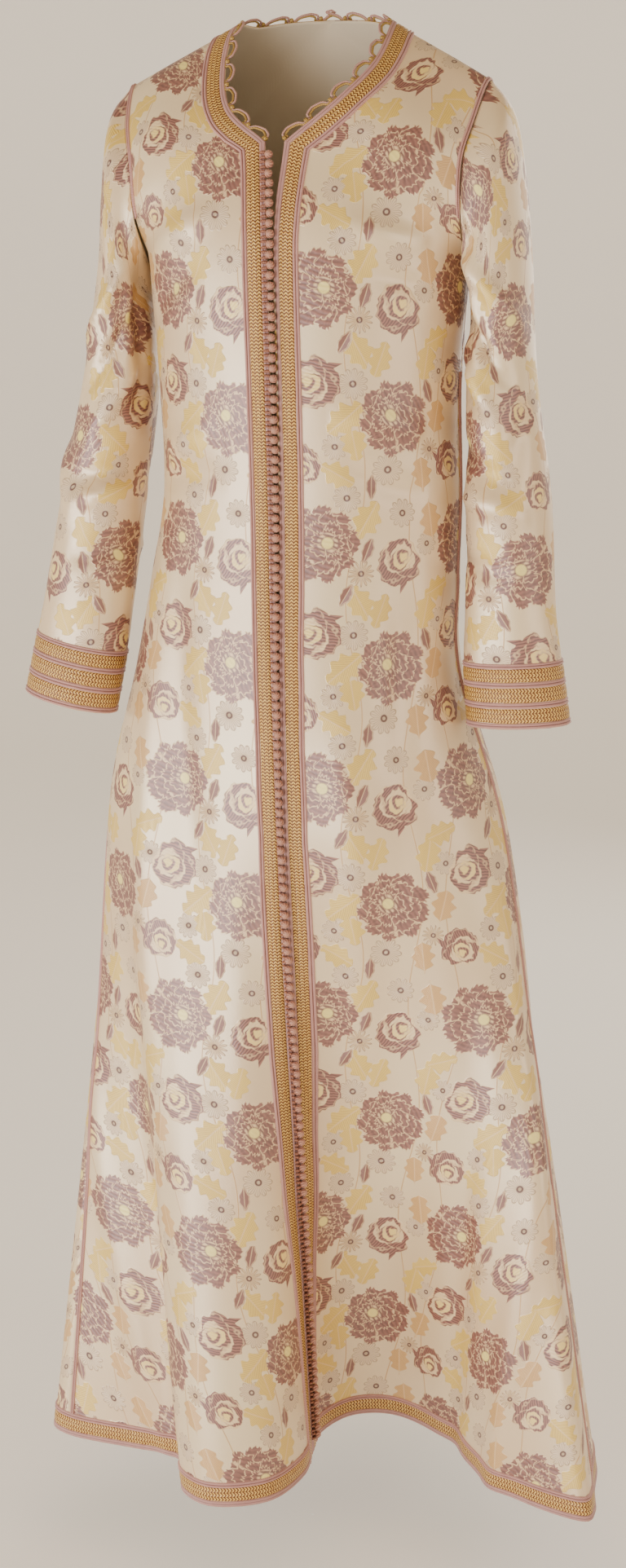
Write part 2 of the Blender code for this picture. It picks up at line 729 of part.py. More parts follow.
def make_sleeve(side, word):
    grid = sleeve_grid(side)
    build = bmesh.new()
    lines = [[build.verts.new(point) for point, _ in ring] for ring in grid]
    for upper, lower in zip(lines, lines[1:]):
        for i in range(len(upper)):
            j = (i + 1) % len(upper)
            corners = (upper[i], lower[i], lower[j], upper[j])
            add_quad(build, *(corners if side < 0 else corners[::-1]))
    piece = add_object(f"sleeve_{word}", build, BROCADE)
    wall = piece.modifiers.new("wall", 'SOLIDIFY')
    wall.thickness = WALL
    wall.offset = -1
    wall.use_rim = True
    band_layers(f"cuff_{word}", grid[-len(CUFF_MARKS):], closed=True)


def build_kaftan():
    clear_scene()
    grids = {(face, side): panel_grid(face, side)
             for face in ("front", "back") for side in (RIGHT, LEFT)}
    make_panels(grids)
    make_front_bands(grids)
    make_neck(grids)
    make_hem(grids)
    make_seam_cords(grids)
    make_loops(grids)
    make_buttons(grids)
    make_sleeve(RIGHT, "right")
    make_sleeve(LEFT, "left")


build_kaftan()
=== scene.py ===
"""The looks of a Moroccan kaftan, worn: brocade, corded braid bands, buttons and loops.

Metres, +Z up. The wearer faces -Y and the wearer's left is +X. The panels are
read as in the part: "across" runs from 0 at the centre line or neck edge to 1
at the armhole or side seam, and "down" counts the key rows of the tables.
"""
import math
from collections import namedtuple

import bmesh
import bpy
import numpy as np
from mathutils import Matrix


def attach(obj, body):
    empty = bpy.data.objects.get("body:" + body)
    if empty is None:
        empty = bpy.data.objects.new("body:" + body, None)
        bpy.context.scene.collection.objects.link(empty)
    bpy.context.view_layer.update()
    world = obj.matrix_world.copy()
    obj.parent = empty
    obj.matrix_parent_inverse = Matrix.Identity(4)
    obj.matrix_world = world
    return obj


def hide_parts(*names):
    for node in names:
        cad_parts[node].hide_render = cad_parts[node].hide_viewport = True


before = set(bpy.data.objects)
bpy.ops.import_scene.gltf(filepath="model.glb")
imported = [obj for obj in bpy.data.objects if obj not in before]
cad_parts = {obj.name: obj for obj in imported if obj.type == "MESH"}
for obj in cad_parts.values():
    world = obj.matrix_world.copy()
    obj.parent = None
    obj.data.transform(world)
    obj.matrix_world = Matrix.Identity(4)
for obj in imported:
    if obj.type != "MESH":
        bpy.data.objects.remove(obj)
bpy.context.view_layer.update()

# ---- the part's own sizes ------------------------------------------------
WALL = 0.0015
SEAM = 0.0006
SLEEVE_SEAM = 0.0006        # from the armhole edge to the sleeve, over the shoulder
SLEEVE_GAP = 0.0024         # the same under the arm
HEM_Z = -1.430
CORD_WIDTH = 0.0056         # a pair of pink cords, side by side
BRAID_WIDTH = 0.0132        # one row of gold braid
SIDE_CORD_WIDTH = 0.0046
BUTTON_RADIUS = 0.0040
BUTTON_PITCH = 0.0093
BUTTON_LIFT = 0.0046
BUTTON_LIFT_CLOSED = 0.0063
BUTTON_FROM_EDGE = 0.0045
OPENING_WIDTH = 0.0018
OPENING_ROW = 10.75
OPENING_REACH = 0.35
RIGHT = -1
LEFT = 1
SIDES = ((RIGHT, "right"), (LEFT, "left"))

# A row of the upper body: its end at the neck edge or centre line, its end at
# the armhole, how far it wraps round (1 is a quarter turn) and how far it
# swells outwards. x is measured away from the centre.
TopRow = namedtuple("TopRow", "inner_x inner_y inner_z outer_x outer_y outer_z wrap swell")
TOP = {
    ("front", RIGHT): (
        TopRow(.0760, .0000, .0000, .1820, .0000, -.0520, .30, .000),     # shoulder seam
        TopRow(.0750, -.0350, -.0400, .1780, -.0300, -.0860, .40, .004),  # collar bone
        TopRow(.0600, -.0640, -.0790, .1680, -.0480, -.1270, .60, .008),  # neck curve
        TopRow(.0190, -.0860, -.1095, .1610, -.0510, -.1780, .80, .006),  # notch
        TopRow(.0095, -.1120, -.1950, .1600, .0050, -.2320, 1.0, .008),   # underarm
    ),
    ("front", LEFT): (
        TopRow(.0760, .0000, .0000, .1730, .0000, -.0530, .30, .000),
        TopRow(.0700, -.0400, -.0370, .1640, -.0310, -.0930, .40, .004),
        TopRow(.0440, -.0670, -.0700, .1570, -.0480, -.1300, .60, .008),
        TopRow(-.0010, -.0860, -.1095, .1570, -.0500, -.1800, .80, .006),
        TopRow(-.0015, -.1120, -.1950, .1520, .0050, -.2320, 1.0, .008),
    ),
    ("back", RIGHT): (
        TopRow(.0760, .0000, .0000, .1820, .0000, -.0520, .30, .000),     # shoulder seam
        TopRow(.0640, .0320, .0030, .1790, .0320, -.0880, .40, .008),     # side of the neck
        TopRow(.0350, .0490, .0080, .1720, .0560, -.1320, .50, .014),     # back of the neck
        TopRow(.0000, .0580, .0100, .1650, .0560, -.1830, .60, .020),     # neck, centre back
        TopRow(.0000, .0880, -.1500, .1600, .0050, -.2320, 1.0, .008),    # underarm
    ),
    ("back", LEFT): (
        TopRow(.0760, .0000, .0000, .1730, .0000, -.0530, .30, .000),
        TopRow(.0640, .0320, .0030, .1710, .0320, -.0880, .40, .008),
        TopRow(.0350, .0490, .0080, .1660, .0560, -.1320, .50, .014),
        TopRow(.0000, .0580, .0100, .1600, .0560, -.1830, .60, .020),
        TopRow(.0000, .0880, -.1500, .1520, .0050, -.2320, 1.0, .008),
    ),
}
NOTCH_ROW = 3
UNDERARM_ROW = 4

# A level section of the body below the arms: half widths to each side seam,
# front and back depth, where the side seams lie, the line that the front edges
# follow and how far each of them stands from it.
Section = namedtuple("Section", "z right left front back seam_right seam_left edge_x stand")
BODY = (
    Section(-.330, .153, .146, -.120, .100, .005, .005, .000, .0038),    # ribs
    Section(-.435, .149, .148, -.110, .095, .000, .005, -.001, .0034),   # waist
    Section(-.520, .162, .146, -.112, .110, -.005, .005, .000, .0024),   # high hip
    Section(-.610, .178, .149, -.118, .128, -.010, .005, .002, .0010),   # hip
    Section(-.760, .208, .196, -.124, .150, -.020, .000, .008, .0000),   # thigh
)
SKIRT_STEPS = 3             # key rows from the thigh to the hem, the last one being the hem

# The hem as it hangs: a row for each fold's crest or hollow, from the right
# front edge round the back to the left front edge. rise lifts it off its lowest level.
HemRow = namedtuple("HemRow", "x y rise")
HEM_RIGHT_FRONT = (
    HemRow(.0165, -.0550, .002),    # front edge
    HemRow(.0220, -.1050, .000),
    HemRow(.0040, -.1640, .000),
    HemRow(-.0500, -.1900, .000),   # crest
    HemRow(-.0950, -.1580, .000),
    HemRow(-.1120, -.1050, .002),   # hollow
    HemRow(-.1630, -.0980, .000),
    HemRow(-.2420, -.0900, .000),   # side seam
)
HEM_RIGHT_BACK = (
    HemRow(-.2680, -.0600, .000),   # crest
    HemRow(-.2450, .0060, .002),
    HemRow(-.2160, .0480, .004),    # hollow
    HemRow(-.2320, .1020, .000),
    HemRow(-.1900, .1560, .000),    # crest
    HemRow(-.1360, .1500, .004),    # hollow
    HemRow(-.0920, .2080, .000),
    HemRow(-.0400, .2340, .000),    # crest
    HemRow(.0060, .2020, .003),     # centre back
)
HEM_LEFT_BACK = (
    HemRow(.0500, .2360, .000),     # crest
    HemRow(.1020, .2120, .000),
    HemRow(.1280, .1660, .004),     # hollow
    HemRow(.1820, .1820, .000),
    HemRow(.2260, .1480, .000),     # crest
    HemRow(.2360, .0940, .004),     # hollow
    HemRow(.2720, .0620, .000),
    HemRow(.3020, .0080, .000),     # crest
    HemRow(.3120, -.0520, .000),    # side seam
)
HEM_LEFT_FRONT = (
    HemRow(.3200, -.0920, .000),
    HemRow(.3120, -.1120, .000),    # crest
    HemRow(.2580, -.0960, .000),
    HemRow(.2080, -.0660, .001),
    HemRow(.1620, -.0180, .005),
    HemRow(.1220, .0140, .011),
    HemRow(.0780, .0260, .015),     # hollow
    HemRow(.0380, .0140, .013),
    HemRow(.0150, -.0180, .006),
    HemRow(.0165, -.0550, .002),    # front edge
)

# A sleeve, in rings: the ring's outermost point, its point next to the body,
# where its middle lies front to back and half its depth. x is away from the centre.
Ring = namedtuple("Ring", "outer_x outer_z inner_x inner_z y depth")
SLEEVE_RIGHT_RINGS = (
    Ring(.2000, -.078, .1630, -.244, .002, .057),    # cap
    Ring(.2070, -.140, .1650, -.254, .002, .060),
    Ring(.2130, -.215, .1630, -.275, .000, .056),    # upper arm
    Ring(.2310, -.325, .1620, -.345, -.004, .052),
    Ring(.2540, -.435, .1720, -.450, -.012, .047),   # elbow
    Ring(.2700, -.540, .1810, -.555, -.028, .040),
    Ring(.2760, -.575, .1840, -.592, -.034, .035),   # wrist
    Ring(.2880, -.640, .1950, -.660, -.042, .034),   # cuff edge
)
SLEEVE_LEFT_RINGS = (
    Ring(.1940, -.082, .1560, -.244, .002, .057),    # cap
    Ring(.2050, -.140, .1570, -.254, .002, .060),
    Ring(.2130, -.215, .1580, -.275, .000, .056),    # upper arm
    Ring(.2210, -.325, .1560, -.335, -.004, .052),
    Ring(.2380, -.435, .1575, -.445, -.008, .047),   # elbow
    Ring(.2460, -.540, .1590, -.545, -.014, .040),
    Ring(.2530, -.585, .1590, -.590, -.018, .036),   # wrist
    Ring(.2640, -.650, .1650, -.655, -.024, .034),   # cuff edge
)
SHOULDER_READING = 0.8 * SEAM / -TOP["front", RIGHT][1].inner_y     # just below the seam
STEPS_PER_ROW = (2, 2, 3, 3, 1, 1, 1, 1, 2, 2, 2, 2)    # the part's grid, between key rows
TOP_ROWS = 5
LAST_ROW = TOP_ROWS + len(BODY) + SKIRT_STEPS - 1
HEM_BAND = 2 * CORD_WIDTH + BRAID_WIDTH


# ---- the panels' surfaces, for whole arrays of readings ------------------
def unit(vectors):
    return vectors / np.maximum(np.linalg.norm(vectors, axis=-1, keepdims=True), 1e-12)


def arc_length(points):
    """How far along a line of points each of them is."""
    steps = np.linalg.norm(np.diff(points, axis=0), axis=-1)
    return np.concatenate(([0.0], np.cumsum(steps)))


def read_line(line, reach, along):
    """A line of vectors or numbers read at these lengths along it."""
    if line.ndim == 1:
        return np.interp(along, reach, line)
    return np.stack([np.interp(along, reach, line[:, axis]) for axis in range(3)], axis=-1)


def smooth_curve(points, t, before=None):
    """Points at t on smooth curves through points, t counted in points."""
    last = points.shape[-2] - 1
    start = np.clip(np.floor(t).astype(int), 0, last - 1)
    rows = np.broadcast_to(points, t.shape + points.shape[-2:])

    def pick(index):
        index = np.clip(index, 0, last)
        return np.take_along_axis(rows, index[..., None, None], axis=-2)[..., 0, :]

    here, there = pick(start), pick(start + 1)
    first = 2 * here - there if before is None else before
    behind = np.where((start > 0)[..., None], pick(start - 1), first)
    ahead = np.where((start + 2 <= last)[..., None], pick(start + 2), 2 * there - here)
    u = (t - start)[..., None]
    bend = 2 * behind - 5 * here + 4 * there - ahead
    twist = 3 * here - behind - 3 * there + ahead
    return here + 0.5 * u * ((there - behind) + u * (bend + u * twist))


def evenly_along(points, first, last, samples=40):
    t = np.linspace(first, last, samples * abs(last - first) + 1)
    track = smooth_curve(points, t)
    reach = arc_length(track)
    return reach / reach[-1], track


def hem_curves():
    """The hem's four stretches, each read from its centre line or front edge to its side seam."""
    right_seam = len(HEM_RIGHT_FRONT) - 1
    centre_back = right_seam + len(HEM_RIGHT_BACK)
    left_seam = centre_back + len(HEM_LEFT_BACK)
    front_edge = left_seam + len(HEM_LEFT_FRONT)
    rows = HEM_RIGHT_FRONT + HEM_RIGHT_BACK + HEM_LEFT_BACK + HEM_LEFT_FRONT
    ring = np.array([(row.x, row.y, HEM_Z + row.rise) for row in rows])
    return {
        ("front", RIGHT): evenly_along(ring, 0, right_seam),
        ("back", RIGHT): evenly_along(ring, centre_back, right_seam),
        ("back", LEFT): evenly_along(ring, centre_back, left_seam),
        ("front", LEFT): evenly_along(ring, front_edge, left_seam),
    }


HEM = hem_curves()


def across_row(inner, outer, wrap, s):
    """Points on a row that leaves inner square to the centre and wraps round to outer."""
    full = wrap * math.pi / 2
    sideways = np.sin(full * s) / math.sin(full)
    inwards = (1 - np.cos(full * s)) / (1 - math.cos(full))
    share = np.stack((sideways, inwards, s), axis=-1)
    return inner + (outer - inner) * share


def top_point(face, side, row, s):
    r = TOP[face, side][row]
    inner = np.array((side * r.inner_x, r.inner_y, r.inner_z))
    outer = np.array((side * r.outer_x, r.outer_y, r.outer_z))
    point = across_row(inner, outer, r.wrap, s)
    outwards = -1 if face == "front" else 1
    point[..., 1] += outwards * r.swell * np.sin(np.pi * s)
    return point


def body_point(face, side, section, s):
    depth = section.front if face == "front" else section.back
    seam_y = section.seam_right if side == RIGHT else section.seam_left
    half = section.right if side == RIGHT else section.left
    stand = side * section.stand if face == "front" else 0.0
    inner = np.array((section.edge_x + stand, depth, section.z))
    outer = np.array((side * half, seam_y, section.z))
    return across_row(inner, outer, 1.0, s)


def key_points(face, side, s):
    """The columns of key points at s, one for each key row, shoulder to hem."""
    column = [top_point(face, side, row, s) for row in range(TOP_ROWS)]
    column += [body_point(face, side, section, s) for section in BODY]
    thigh = column[-1]
    reach, track = HEM[face, side]
    hem = np.stack([np.interp(s, reach, track[:, axis]) for axis in range(3)], axis=-1)
    column += [thigh + (hem - thigh) * step / SKIRT_STEPS for step in range(1, SKIRT_STEPS + 1)]
    return np.stack(column, axis=-2)


def panel_rows():
    """The readings down of the part's own grid, which its bands are set out on."""
    rows = [SHOULDER_READING]
    for key, steps in enumerate(STEPS_PER_ROW):
        rows += [key + step / steps for step in range(steps)]
    rows.remove(0.0)
    return np.array(rows + [float(LAST_ROW)])


ROWS = panel_rows()


def between(grid, row, column):
    """Reads a grid of numbers at places between its rows and columns."""
    row = np.clip(row, 0, grid.shape[0] - 1.0001)
    column = np.clip(column, 0, grid.shape[1] - 1.0001)
    r, c = row.astype(int), column.astype(int)
    down, over = row - r, column - c
    upper = grid[r, c] * (1 - over) + grid[r, c + 1] * over
    lower = grid[r + 1, c] * (1 - over) + grid[r + 1, c + 1] * over
    return upper * (1 - down) + lower * down


# A fold pressed into the cloth: it runs from (u1, v1) to (u2, v2), metres out
# from the centre line and down the cloth. depth is outwards, so a trough's is
# below 0, and bow bends it sideways.
Fold = namedtuple("Fold", "u1 v1 u2 v2 width depth bow")
FOLD_EASE = 0.7             # how softly a fold dies out at its ends


def folded(folds, u, v):
    """How far the folds lift the cloth at these places."""
    lift = np.zeros_like(u)
    for fold in folds:
        run_u, run_v = fold.u2 - fold.u1, fold.v2 - fold.v1
        length = math.hypot(run_u, run_v)
        along = ((u - fold.u1) * run_u + (v - fold.v1) * run_v) / length ** 2
        along = np.clip(along, 0, 1)
        arch = np.sin(np.pi * along)
        off = ((u - fold.u1) * run_v - (v - fold.v1) * run_u) / length - fold.bow * arch
        lift += fold.depth * np.exp(-(off / fold.width) ** 2) * arch ** FOLD_EASE
    return lift


class Panel:
    """One half of the front or the back: its surface, its grain and its folds."""
    LOOK = 0.004                # steps across and down for a normal
    LOOK_DOWN = 0.02
    GRAIN_ROWS = 8              # grain readings for each key row
    GRAIN_COLUMNS = 40
    EDGE_READINGS = 400
    NEAR_EDGE, NEAR_SIDE = 0.05, 0.03   # steps across to measure an edge's rate by
    CORNER = 0.001              # keeps a reading off a corner of an edge
    EDGE_EASE, SIDE_EASE = 3, 6     # how fast an edge's corner fades into the panel

    def __init__(self, face, side):
        self.face, self.side = face, side
        self.facing = 1 if (face == "front") == (side == RIGHT) else -1
        self.inner_keys = key_points(face, side, np.zeros(()))
        self.outer_keys = key_points(face, side, np.ones(()))
        self.folds = ()
        self.lay_grain()
        self.measure_edges()
        self.folds = FOLDS[face, side]

    def over_shoulder(self, s):
        return top_point("back" if self.face == "front" else "front", self.side, 1, s)

    def plain(self, s, t):
        return smooth_curve(key_points(self.face, self.side, s), t, self.over_shoulder(s))

    def cornered(self, keys, t, corner, s):
        """An edge with a true corner at one key row."""
        upper = smooth_curve(keys[:corner + 1], np.minimum(t, corner), self.over_shoulder(s))
        lower = smooth_curve(keys[corner:], np.maximum(t - corner, 0.0))
        return np.where((t <= corner)[..., None], upper, lower)

    def edge(self, t):
        return self.cornered(self.inner_keys, t, NOTCH_ROW, np.zeros_like(t))

    def body(self, s, t):
        """The part's own surface at s across and t down."""
        zero, one = np.zeros_like(t), np.ones_like(t)
        side_line = self.cornered(self.outer_keys, t, UNDERARM_ROW, one)
        point = self.plain(s, t)
        near_edge = ((1 - s) ** self.EDGE_EASE)[..., None]
        near_side = (s ** self.SIDE_EASE)[..., None]
        point = point + (self.edge(t) - self.plain(zero, t)) * near_edge
        return point + (side_line - self.plain(one, t)) * near_side

    def lay_grain(self):
        """Tables of how far out and down the cloth each place is, and which way it faces."""
        t = np.linspace(0, LAST_ROW, self.GRAIN_ROWS * LAST_ROW + 1)
        s = np.linspace(0, 1, self.GRAIN_COLUMNS + 1)
        places = np.broadcast_arrays(s[None, :], t[:, None])
        points = self.body(*places)
        self.ways = np.moveaxis(self.normal(*places, self.body), -1, 0)
        steps = np.linalg.norm(np.diff(points, axis=1), axis=-1)
        self.grain_out = np.concatenate((np.zeros((len(t), 1)), np.cumsum(steps, axis=1)), axis=1)
        notch = NOTCH_ROW * self.GRAIN_ROWS
        edge_x = np.abs(points[:, 0, 0])
        self.grain_out += (np.maximum(edge_x, edge_x[notch]) - edge_x[notch])[:, None]
        middle = points[:, self.GRAIN_COLUMNS // 2]
        level = np.interp(-points[..., 2], -middle[:, 2], arc_length(middle) - middle[0, 2])
        falls = np.linalg.norm(np.diff(points, axis=0), axis=-1)
        fallen = np.concatenate((np.zeros((1, len(s))), np.cumsum(falls, axis=0)))
        under = UNDERARM_ROW * self.GRAIN_ROWS
        top = level[under] - fallen[under] + fallen
        self.grain_down = np.where(np.arange(len(t))[:, None] < under, top, level)

    def grain(self, s, t):
        """Metres out from the centre line, and down the cloth."""
        row, column = t * self.GRAIN_ROWS, s * self.GRAIN_COLUMNS
        return between(self.grain_out, row, column), between(self.grain_down, row, column)

    def place(self, s, t):
        """The cloth as it hangs, with its folds, and its normals."""
        s, t = np.broadcast_arrays(np.asarray(s, float), np.asarray(t, float))
        return self.draped(s, t), self.normal(s, t, self.draped)

    def draped(self, s, t):
        points = self.body(s, t)
        lift = folded(self.folds, *self.grain(s, t))
        way = [between(axis, t * self.GRAIN_ROWS, s * self.GRAIN_COLUMNS) for axis in self.ways]
        return points + np.stack(way, axis=-1) * lift[..., None]

    def normal(self, s, t, where):
        low_s, high_s = np.maximum(s - self.LOOK, 0), np.minimum(s + self.LOOK, 1)
        low_t, high_t = np.maximum(t - self.LOOK_DOWN, 0), np.minimum(t + self.LOOK_DOWN, LAST_ROW)
        over = where(high_s, t) - where(low_s, t)
        down = where(s, high_t) - where(s, low_t)
        return unit(np.cross(over, down)) * self.facing

    def measure_edges(self):
        """What one metre in from each edge is as a reading across, at each of the part's rows."""
        t = ROWS
        zero, one = np.zeros_like(t), np.ones_like(t)
        at = self.body(zero, t)
        over = self.body(zero + self.NEAR_EDGE, t) - at
        speed = np.linalg.norm(over, axis=-1) / self.NEAR_EDGE
        row = unit(self.body(zero + self.NEAR_SIDE, t) - at)
        above = np.maximum(t - self.LOOK_DOWN, 0)
        below = np.minimum(t + self.LOOK_DOWN, LAST_ROW)
        slants = []
        for a, b in ((above, np.maximum(t, above + self.CORNER)),
                     (np.minimum(t, below - self.CORNER), below)):
            slants.append(np.linalg.norm(np.cross(row, unit(self.edge(b) - self.edge(a))), axis=-1))
        slants[0] = np.where(t < self.LOOK_DOWN, slants[1], slants[0])
        slants[1] = np.where(t > LAST_ROW - self.LOOK_DOWN, slants[0], slants[1])
        self.edge_rate = 2 / (slants[0] + slants[1]) / speed
        over = self.body(one, t) - self.body(one - self.NEAR_SIDE, t)
        self.side_rate = self.NEAR_SIDE / np.linalg.norm(over, axis=-1)

    def from_edge(self, t, distance):
        """The reading across at this distance from the neck edge or centre line."""
        return distance * np.interp(t, ROWS, self.edge_rate)

    def from_side(self, t, distance):
        return 1 - distance * np.interp(t, ROWS, self.side_rate)

    def rows_at(self, first, last, pitch):
        """Readings down whose places along the edge are about pitch apart."""
        t = np.linspace(first, last, self.EDGE_READINGS)
        reach = arc_length(self.edge(t))
        return np.interp(np.linspace(0, reach[-1], int(reach[-1] / pitch) + 2), reach, t)


def closure_gap(t):
    """How far a front edge is drawn back from its line at row t."""
    reach = np.abs(t - OPENING_ROW) / OPENING_REACH
    return SEAM / 2 + OPENING_WIDTH * np.maximum(0.0, 1 - reach * reach) ** 2


# The left front's lap under the buttons, in metres, at the key rows from the notch to the thigh.
LEFT_LAP = ((3, .0), (4, .0022), (5, .0027), (6, .0023), (7, .0012), (8, .0))


def edge_start(panel, t):
    """How far in a front's edge is; the left one reaches a little way under the buttons."""
    if panel.face == "back":
        return 0 * t
    lap = np.interp(t, *zip(*LEFT_LAP)) if panel.side == LEFT else 0.0
    return (closure_gap(t) - lap) * (t > NOTCH_ROW)


class Sleeve:
    """A sleeve: turn is 0 on the outside of the arm, 0.5 in front and 1 next to the body."""
    LOOK, LOOK_DOWN = 0.01, 0.02    # steps round and down for a normal
    UNDER_FROM, UNDER_OVER = 1.8, 1.2   # key rows over which the start turns under the arm
    START_TURNS = np.linspace(-1.05, 1.05, 211)

    def __init__(self, side):
        self.side = side
        self.rings = SLEEVE_RIGHT_RINGS if side == RIGHT else SLEEVE_LEFT_RINGS
        self.last = len(self.rings)
        self.folds = SLEEVE_FOLDS[side]
        self.starts = self.start(self.START_TURNS)

    def start(self, turn):
        """Where the sleeve begins: off the armhole edge, and off the body's side under the arm."""
        t = np.abs(turn) * UNDERARM_ROW
        found = []
        for face in ("front", "back"):
            panel = PANELS[face, self.side]
            one = np.ones_like(t)
            edge = panel.body(one, t)
            away = unit(edge - panel.body(one - 0.02, t))
            under = np.clip((t - self.UNDER_FROM) / self.UNDER_OVER, 0, 1)[..., None]
            lift = panel.normal(one, t, panel.body)
            gap = SLEEVE_SEAM + (SLEEVE_GAP - SLEEVE_SEAM) * under
            found.append(edge + unit(away * (1 - under) + lift * under) * gap)
        return np.where((turn >= 0)[..., None], found[0], found[1])

    def keys(self, turn):
        wrapped = (turn + 1) % 2 - 1
        column = [read_line(self.starts, self.START_TURNS, wrapped)]
        for ring in self.rings:
            outer = np.array((self.side * ring.outer_x, ring.y, ring.outer_z))
            inner = np.array((self.side * ring.inner_x, ring.y, ring.inner_z))
            middle = (outer + inner) / 2
            point = middle + (outer - middle) * np.cos(np.pi * turn)[..., None]
            point[..., 1] -= ring.depth * np.sin(np.pi * turn)
            column.append(point)
        return np.stack(column, axis=-2)

    def body(self, turn, t):
        return smooth_curve(self.keys(turn), t)

    def normal(self, turn, t, where):
        low, high = np.maximum(t - self.LOOK_DOWN, 0), np.minimum(t + self.LOOK_DOWN, self.last)
        over = where(turn + self.LOOK, t) - where(turn - self.LOOK, t)
        down = where(turn, high) - where(turn, low)
        return unit(np.cross(over, down)) * self.side

    def draped(self, turn, t):
        points = self.body(turn, t)
        lift = np.zeros_like(turn)
        for shift in (-2, 0, 2):
            lift += folded(self.folds, (turn + shift) * SLEEVE_HALF_ROUND, -points[..., 2])
        return points + self.normal(turn, t, self.body) * lift[..., None]

    def place(self, turn, t):
        turn, t = np.broadcast_arrays(np.asarray(turn, float), np.asarray(t, float))
        return self.draped(turn, t), self.normal(turn, t, self.draped)

    def from_cuff(self, turn, distance):
        """The reading down at this distance up from the cuff's edge."""
        keys = self.keys(turn)
        run = np.linalg.norm(keys[..., -1, :] - keys[..., -2, :], axis=-1)
        return self.last - distance / run


# ---- folds, in metres of cloth: from u, v to u, v, width, depth and bow ---
FOLDS = {
    ("front", RIGHT): (
        Fold(.050, .205, .150, .250, .0120, .0057, .004),     # drag from the bust to the arm
        Fold(.070, .255, .155, .300, .0100, -.0051, .003),
        Fold(.060, .400, .145, .430, .0120, .0051, -.004),    # waist
        Fold(.050, .450, .150, .455, .0110, -.0051, .003),
        Fold(.110, .520, .090, .900, .0200, -.0064, .010),
        Fold(.150, .620, .150, 1.150, .0180, .0064, .006),
        Fold(.060, .760, .050, 1.380, .0240, .0057, -.008),
        Fold(.215, 1.000, .245, 1.700, .0160, -.0072, .004),
        Fold(.275, 1.050, .310, 1.700, .0160, .0072, .000),
    ),
    ("front", LEFT): (
        Fold(.060, .215, .150, .235, .0120, .0057, -.004),
        Fold(.080, .265, .150, .280, .0090, -.0043, .003),
        Fold(.050, .395, .145, .410, .0120, .0051, .004),
        Fold(.060, .440, .145, .470, .0110, -.0051, -.003),
        Fold(.115, .500, .120, .860, .0180, -.0057, .006),
        Fold(.060, .640, .085, 1.150, .0200, .0057, .006),
        Fold(.180, .900, .230, 1.700, .0180, -.0072, .006),
        Fold(.260, 1.000, .330, 1.700, .0180, .0072, .000),
    ),
    ("back", RIGHT): (
        Fold(.030, .330, .150, .370, .0140, .0057, .005),
        Fold(.020, .400, .150, .420, .0130, -.0057, -.004),
        Fold(.010, .455, .140, .480, .0130, .0051, .004),
        Fold(.090, .520, .100, 1.000, .0180, -.0057, .008),
        Fold(.200, .900, .230, 1.700, .0180, .0072, .006),
        Fold(.320, 1.000, .380, 1.700, .0180, -.0072, .000),
    ),
    ("back", LEFT): (
        Fold(.020, .320, .140, .345, .0140, .0057, -.004),
        Fold(.030, .390, .145, .405, .0130, -.0057, .003),
        Fold(.015, .470, .140, .460, .0130, .0051, -.004),
        Fold(.060, .560, .080, 1.100, .0200, -.0057, .006),
        Fold(.170, .850, .200, 1.700, .0180, .0072, -.006),
        Fold(.300, .950, .350, 1.700, .0180, -.0072, .000),
    ),
}
SLEEVE_HALF_ROUND = 0.150   # the way out on a sleeve that a turn of 1 stands for
SLEEVE_FOLDS = {
    RIGHT: (
        Fold(.104, .205, .100, .345, .008, .0060, .004),     # ridge straight down from the armpit
        Fold(.124, .215, .120, .370, .009, -.0070, .003),    # and the hollow beside it
        Fold(.110, .205, .020, .300, .0096, .0077, .006),     # drag down from the armpit
        Fold(.130, .245, .040, .345, .0080, -.0086, .005),
        Fold(.140, .300, .060, .390, .0096, .0077, -.004),
        Fold(.150, .400, .040, .425, .0096, -.0086, .006),    # elbow
        Fold(.140, .440, .050, .450, .0088, .0086, -.006),
        Fold(.150, .480, .060, .500, .0096, -.0077, .005),
        Fold(-.010, .380, .060, .470, .0112, .0058, .004),
        Fold(-.150, .240, -.050, .330, .0112, .0077, .005),
        Fold(-.140, .420, -.040, .440, .0096, -.0086, -.005),
        Fold(-.130, .500, -.050, .480, .0096, .0077, .004),
    ),
    LEFT: (
        Fold(.108, .200, .092, .330, .008, .0060, -.004),
        Fold(.128, .210, .110, .360, .009, -.0070, .003),
        Fold(.120, .200, .020, .280, .0096, .0086, .006),
        Fold(.135, .235, .040, .335, .0080, -.0096, .004),
        Fold(.145, .290, .060, .370, .0096, .0086, -.004),
        Fold(.150, .385, .050, .420, .0096, -.0086, .005),
        Fold(.140, .435, .040, .455, .0088, .0086, -.005),
        Fold(.150, .490, .060, .505, .0096, -.0077, .004),
        Fold(.010, .330, .060, .420, .0112, -.0058, .004),
        Fold(-.150, .250, -.050, .320, .0112, .0077, .005),
        Fold(-.140, .410, -.050, .440, .0096, -.0086, -.005),
        Fold(-.130, .490, -.040, .480, .0096, .0077, .004),
    ),
}

PANELS = {(face, side): Panel(face, side)
          for face in ("front", "back") for side in (RIGHT, LEFT)}
SLEEVES = {side: Sleeve(side) for side in (RIGHT, LEFT)}


# ---- meshes --------------------------------------------------------------
def show(name, data):
    """An object of this mesh, lamp or camera."""
    thing = bpy.data.objects.new(name, data)
    bpy.context.collection.objects.link(thing)
    return thing


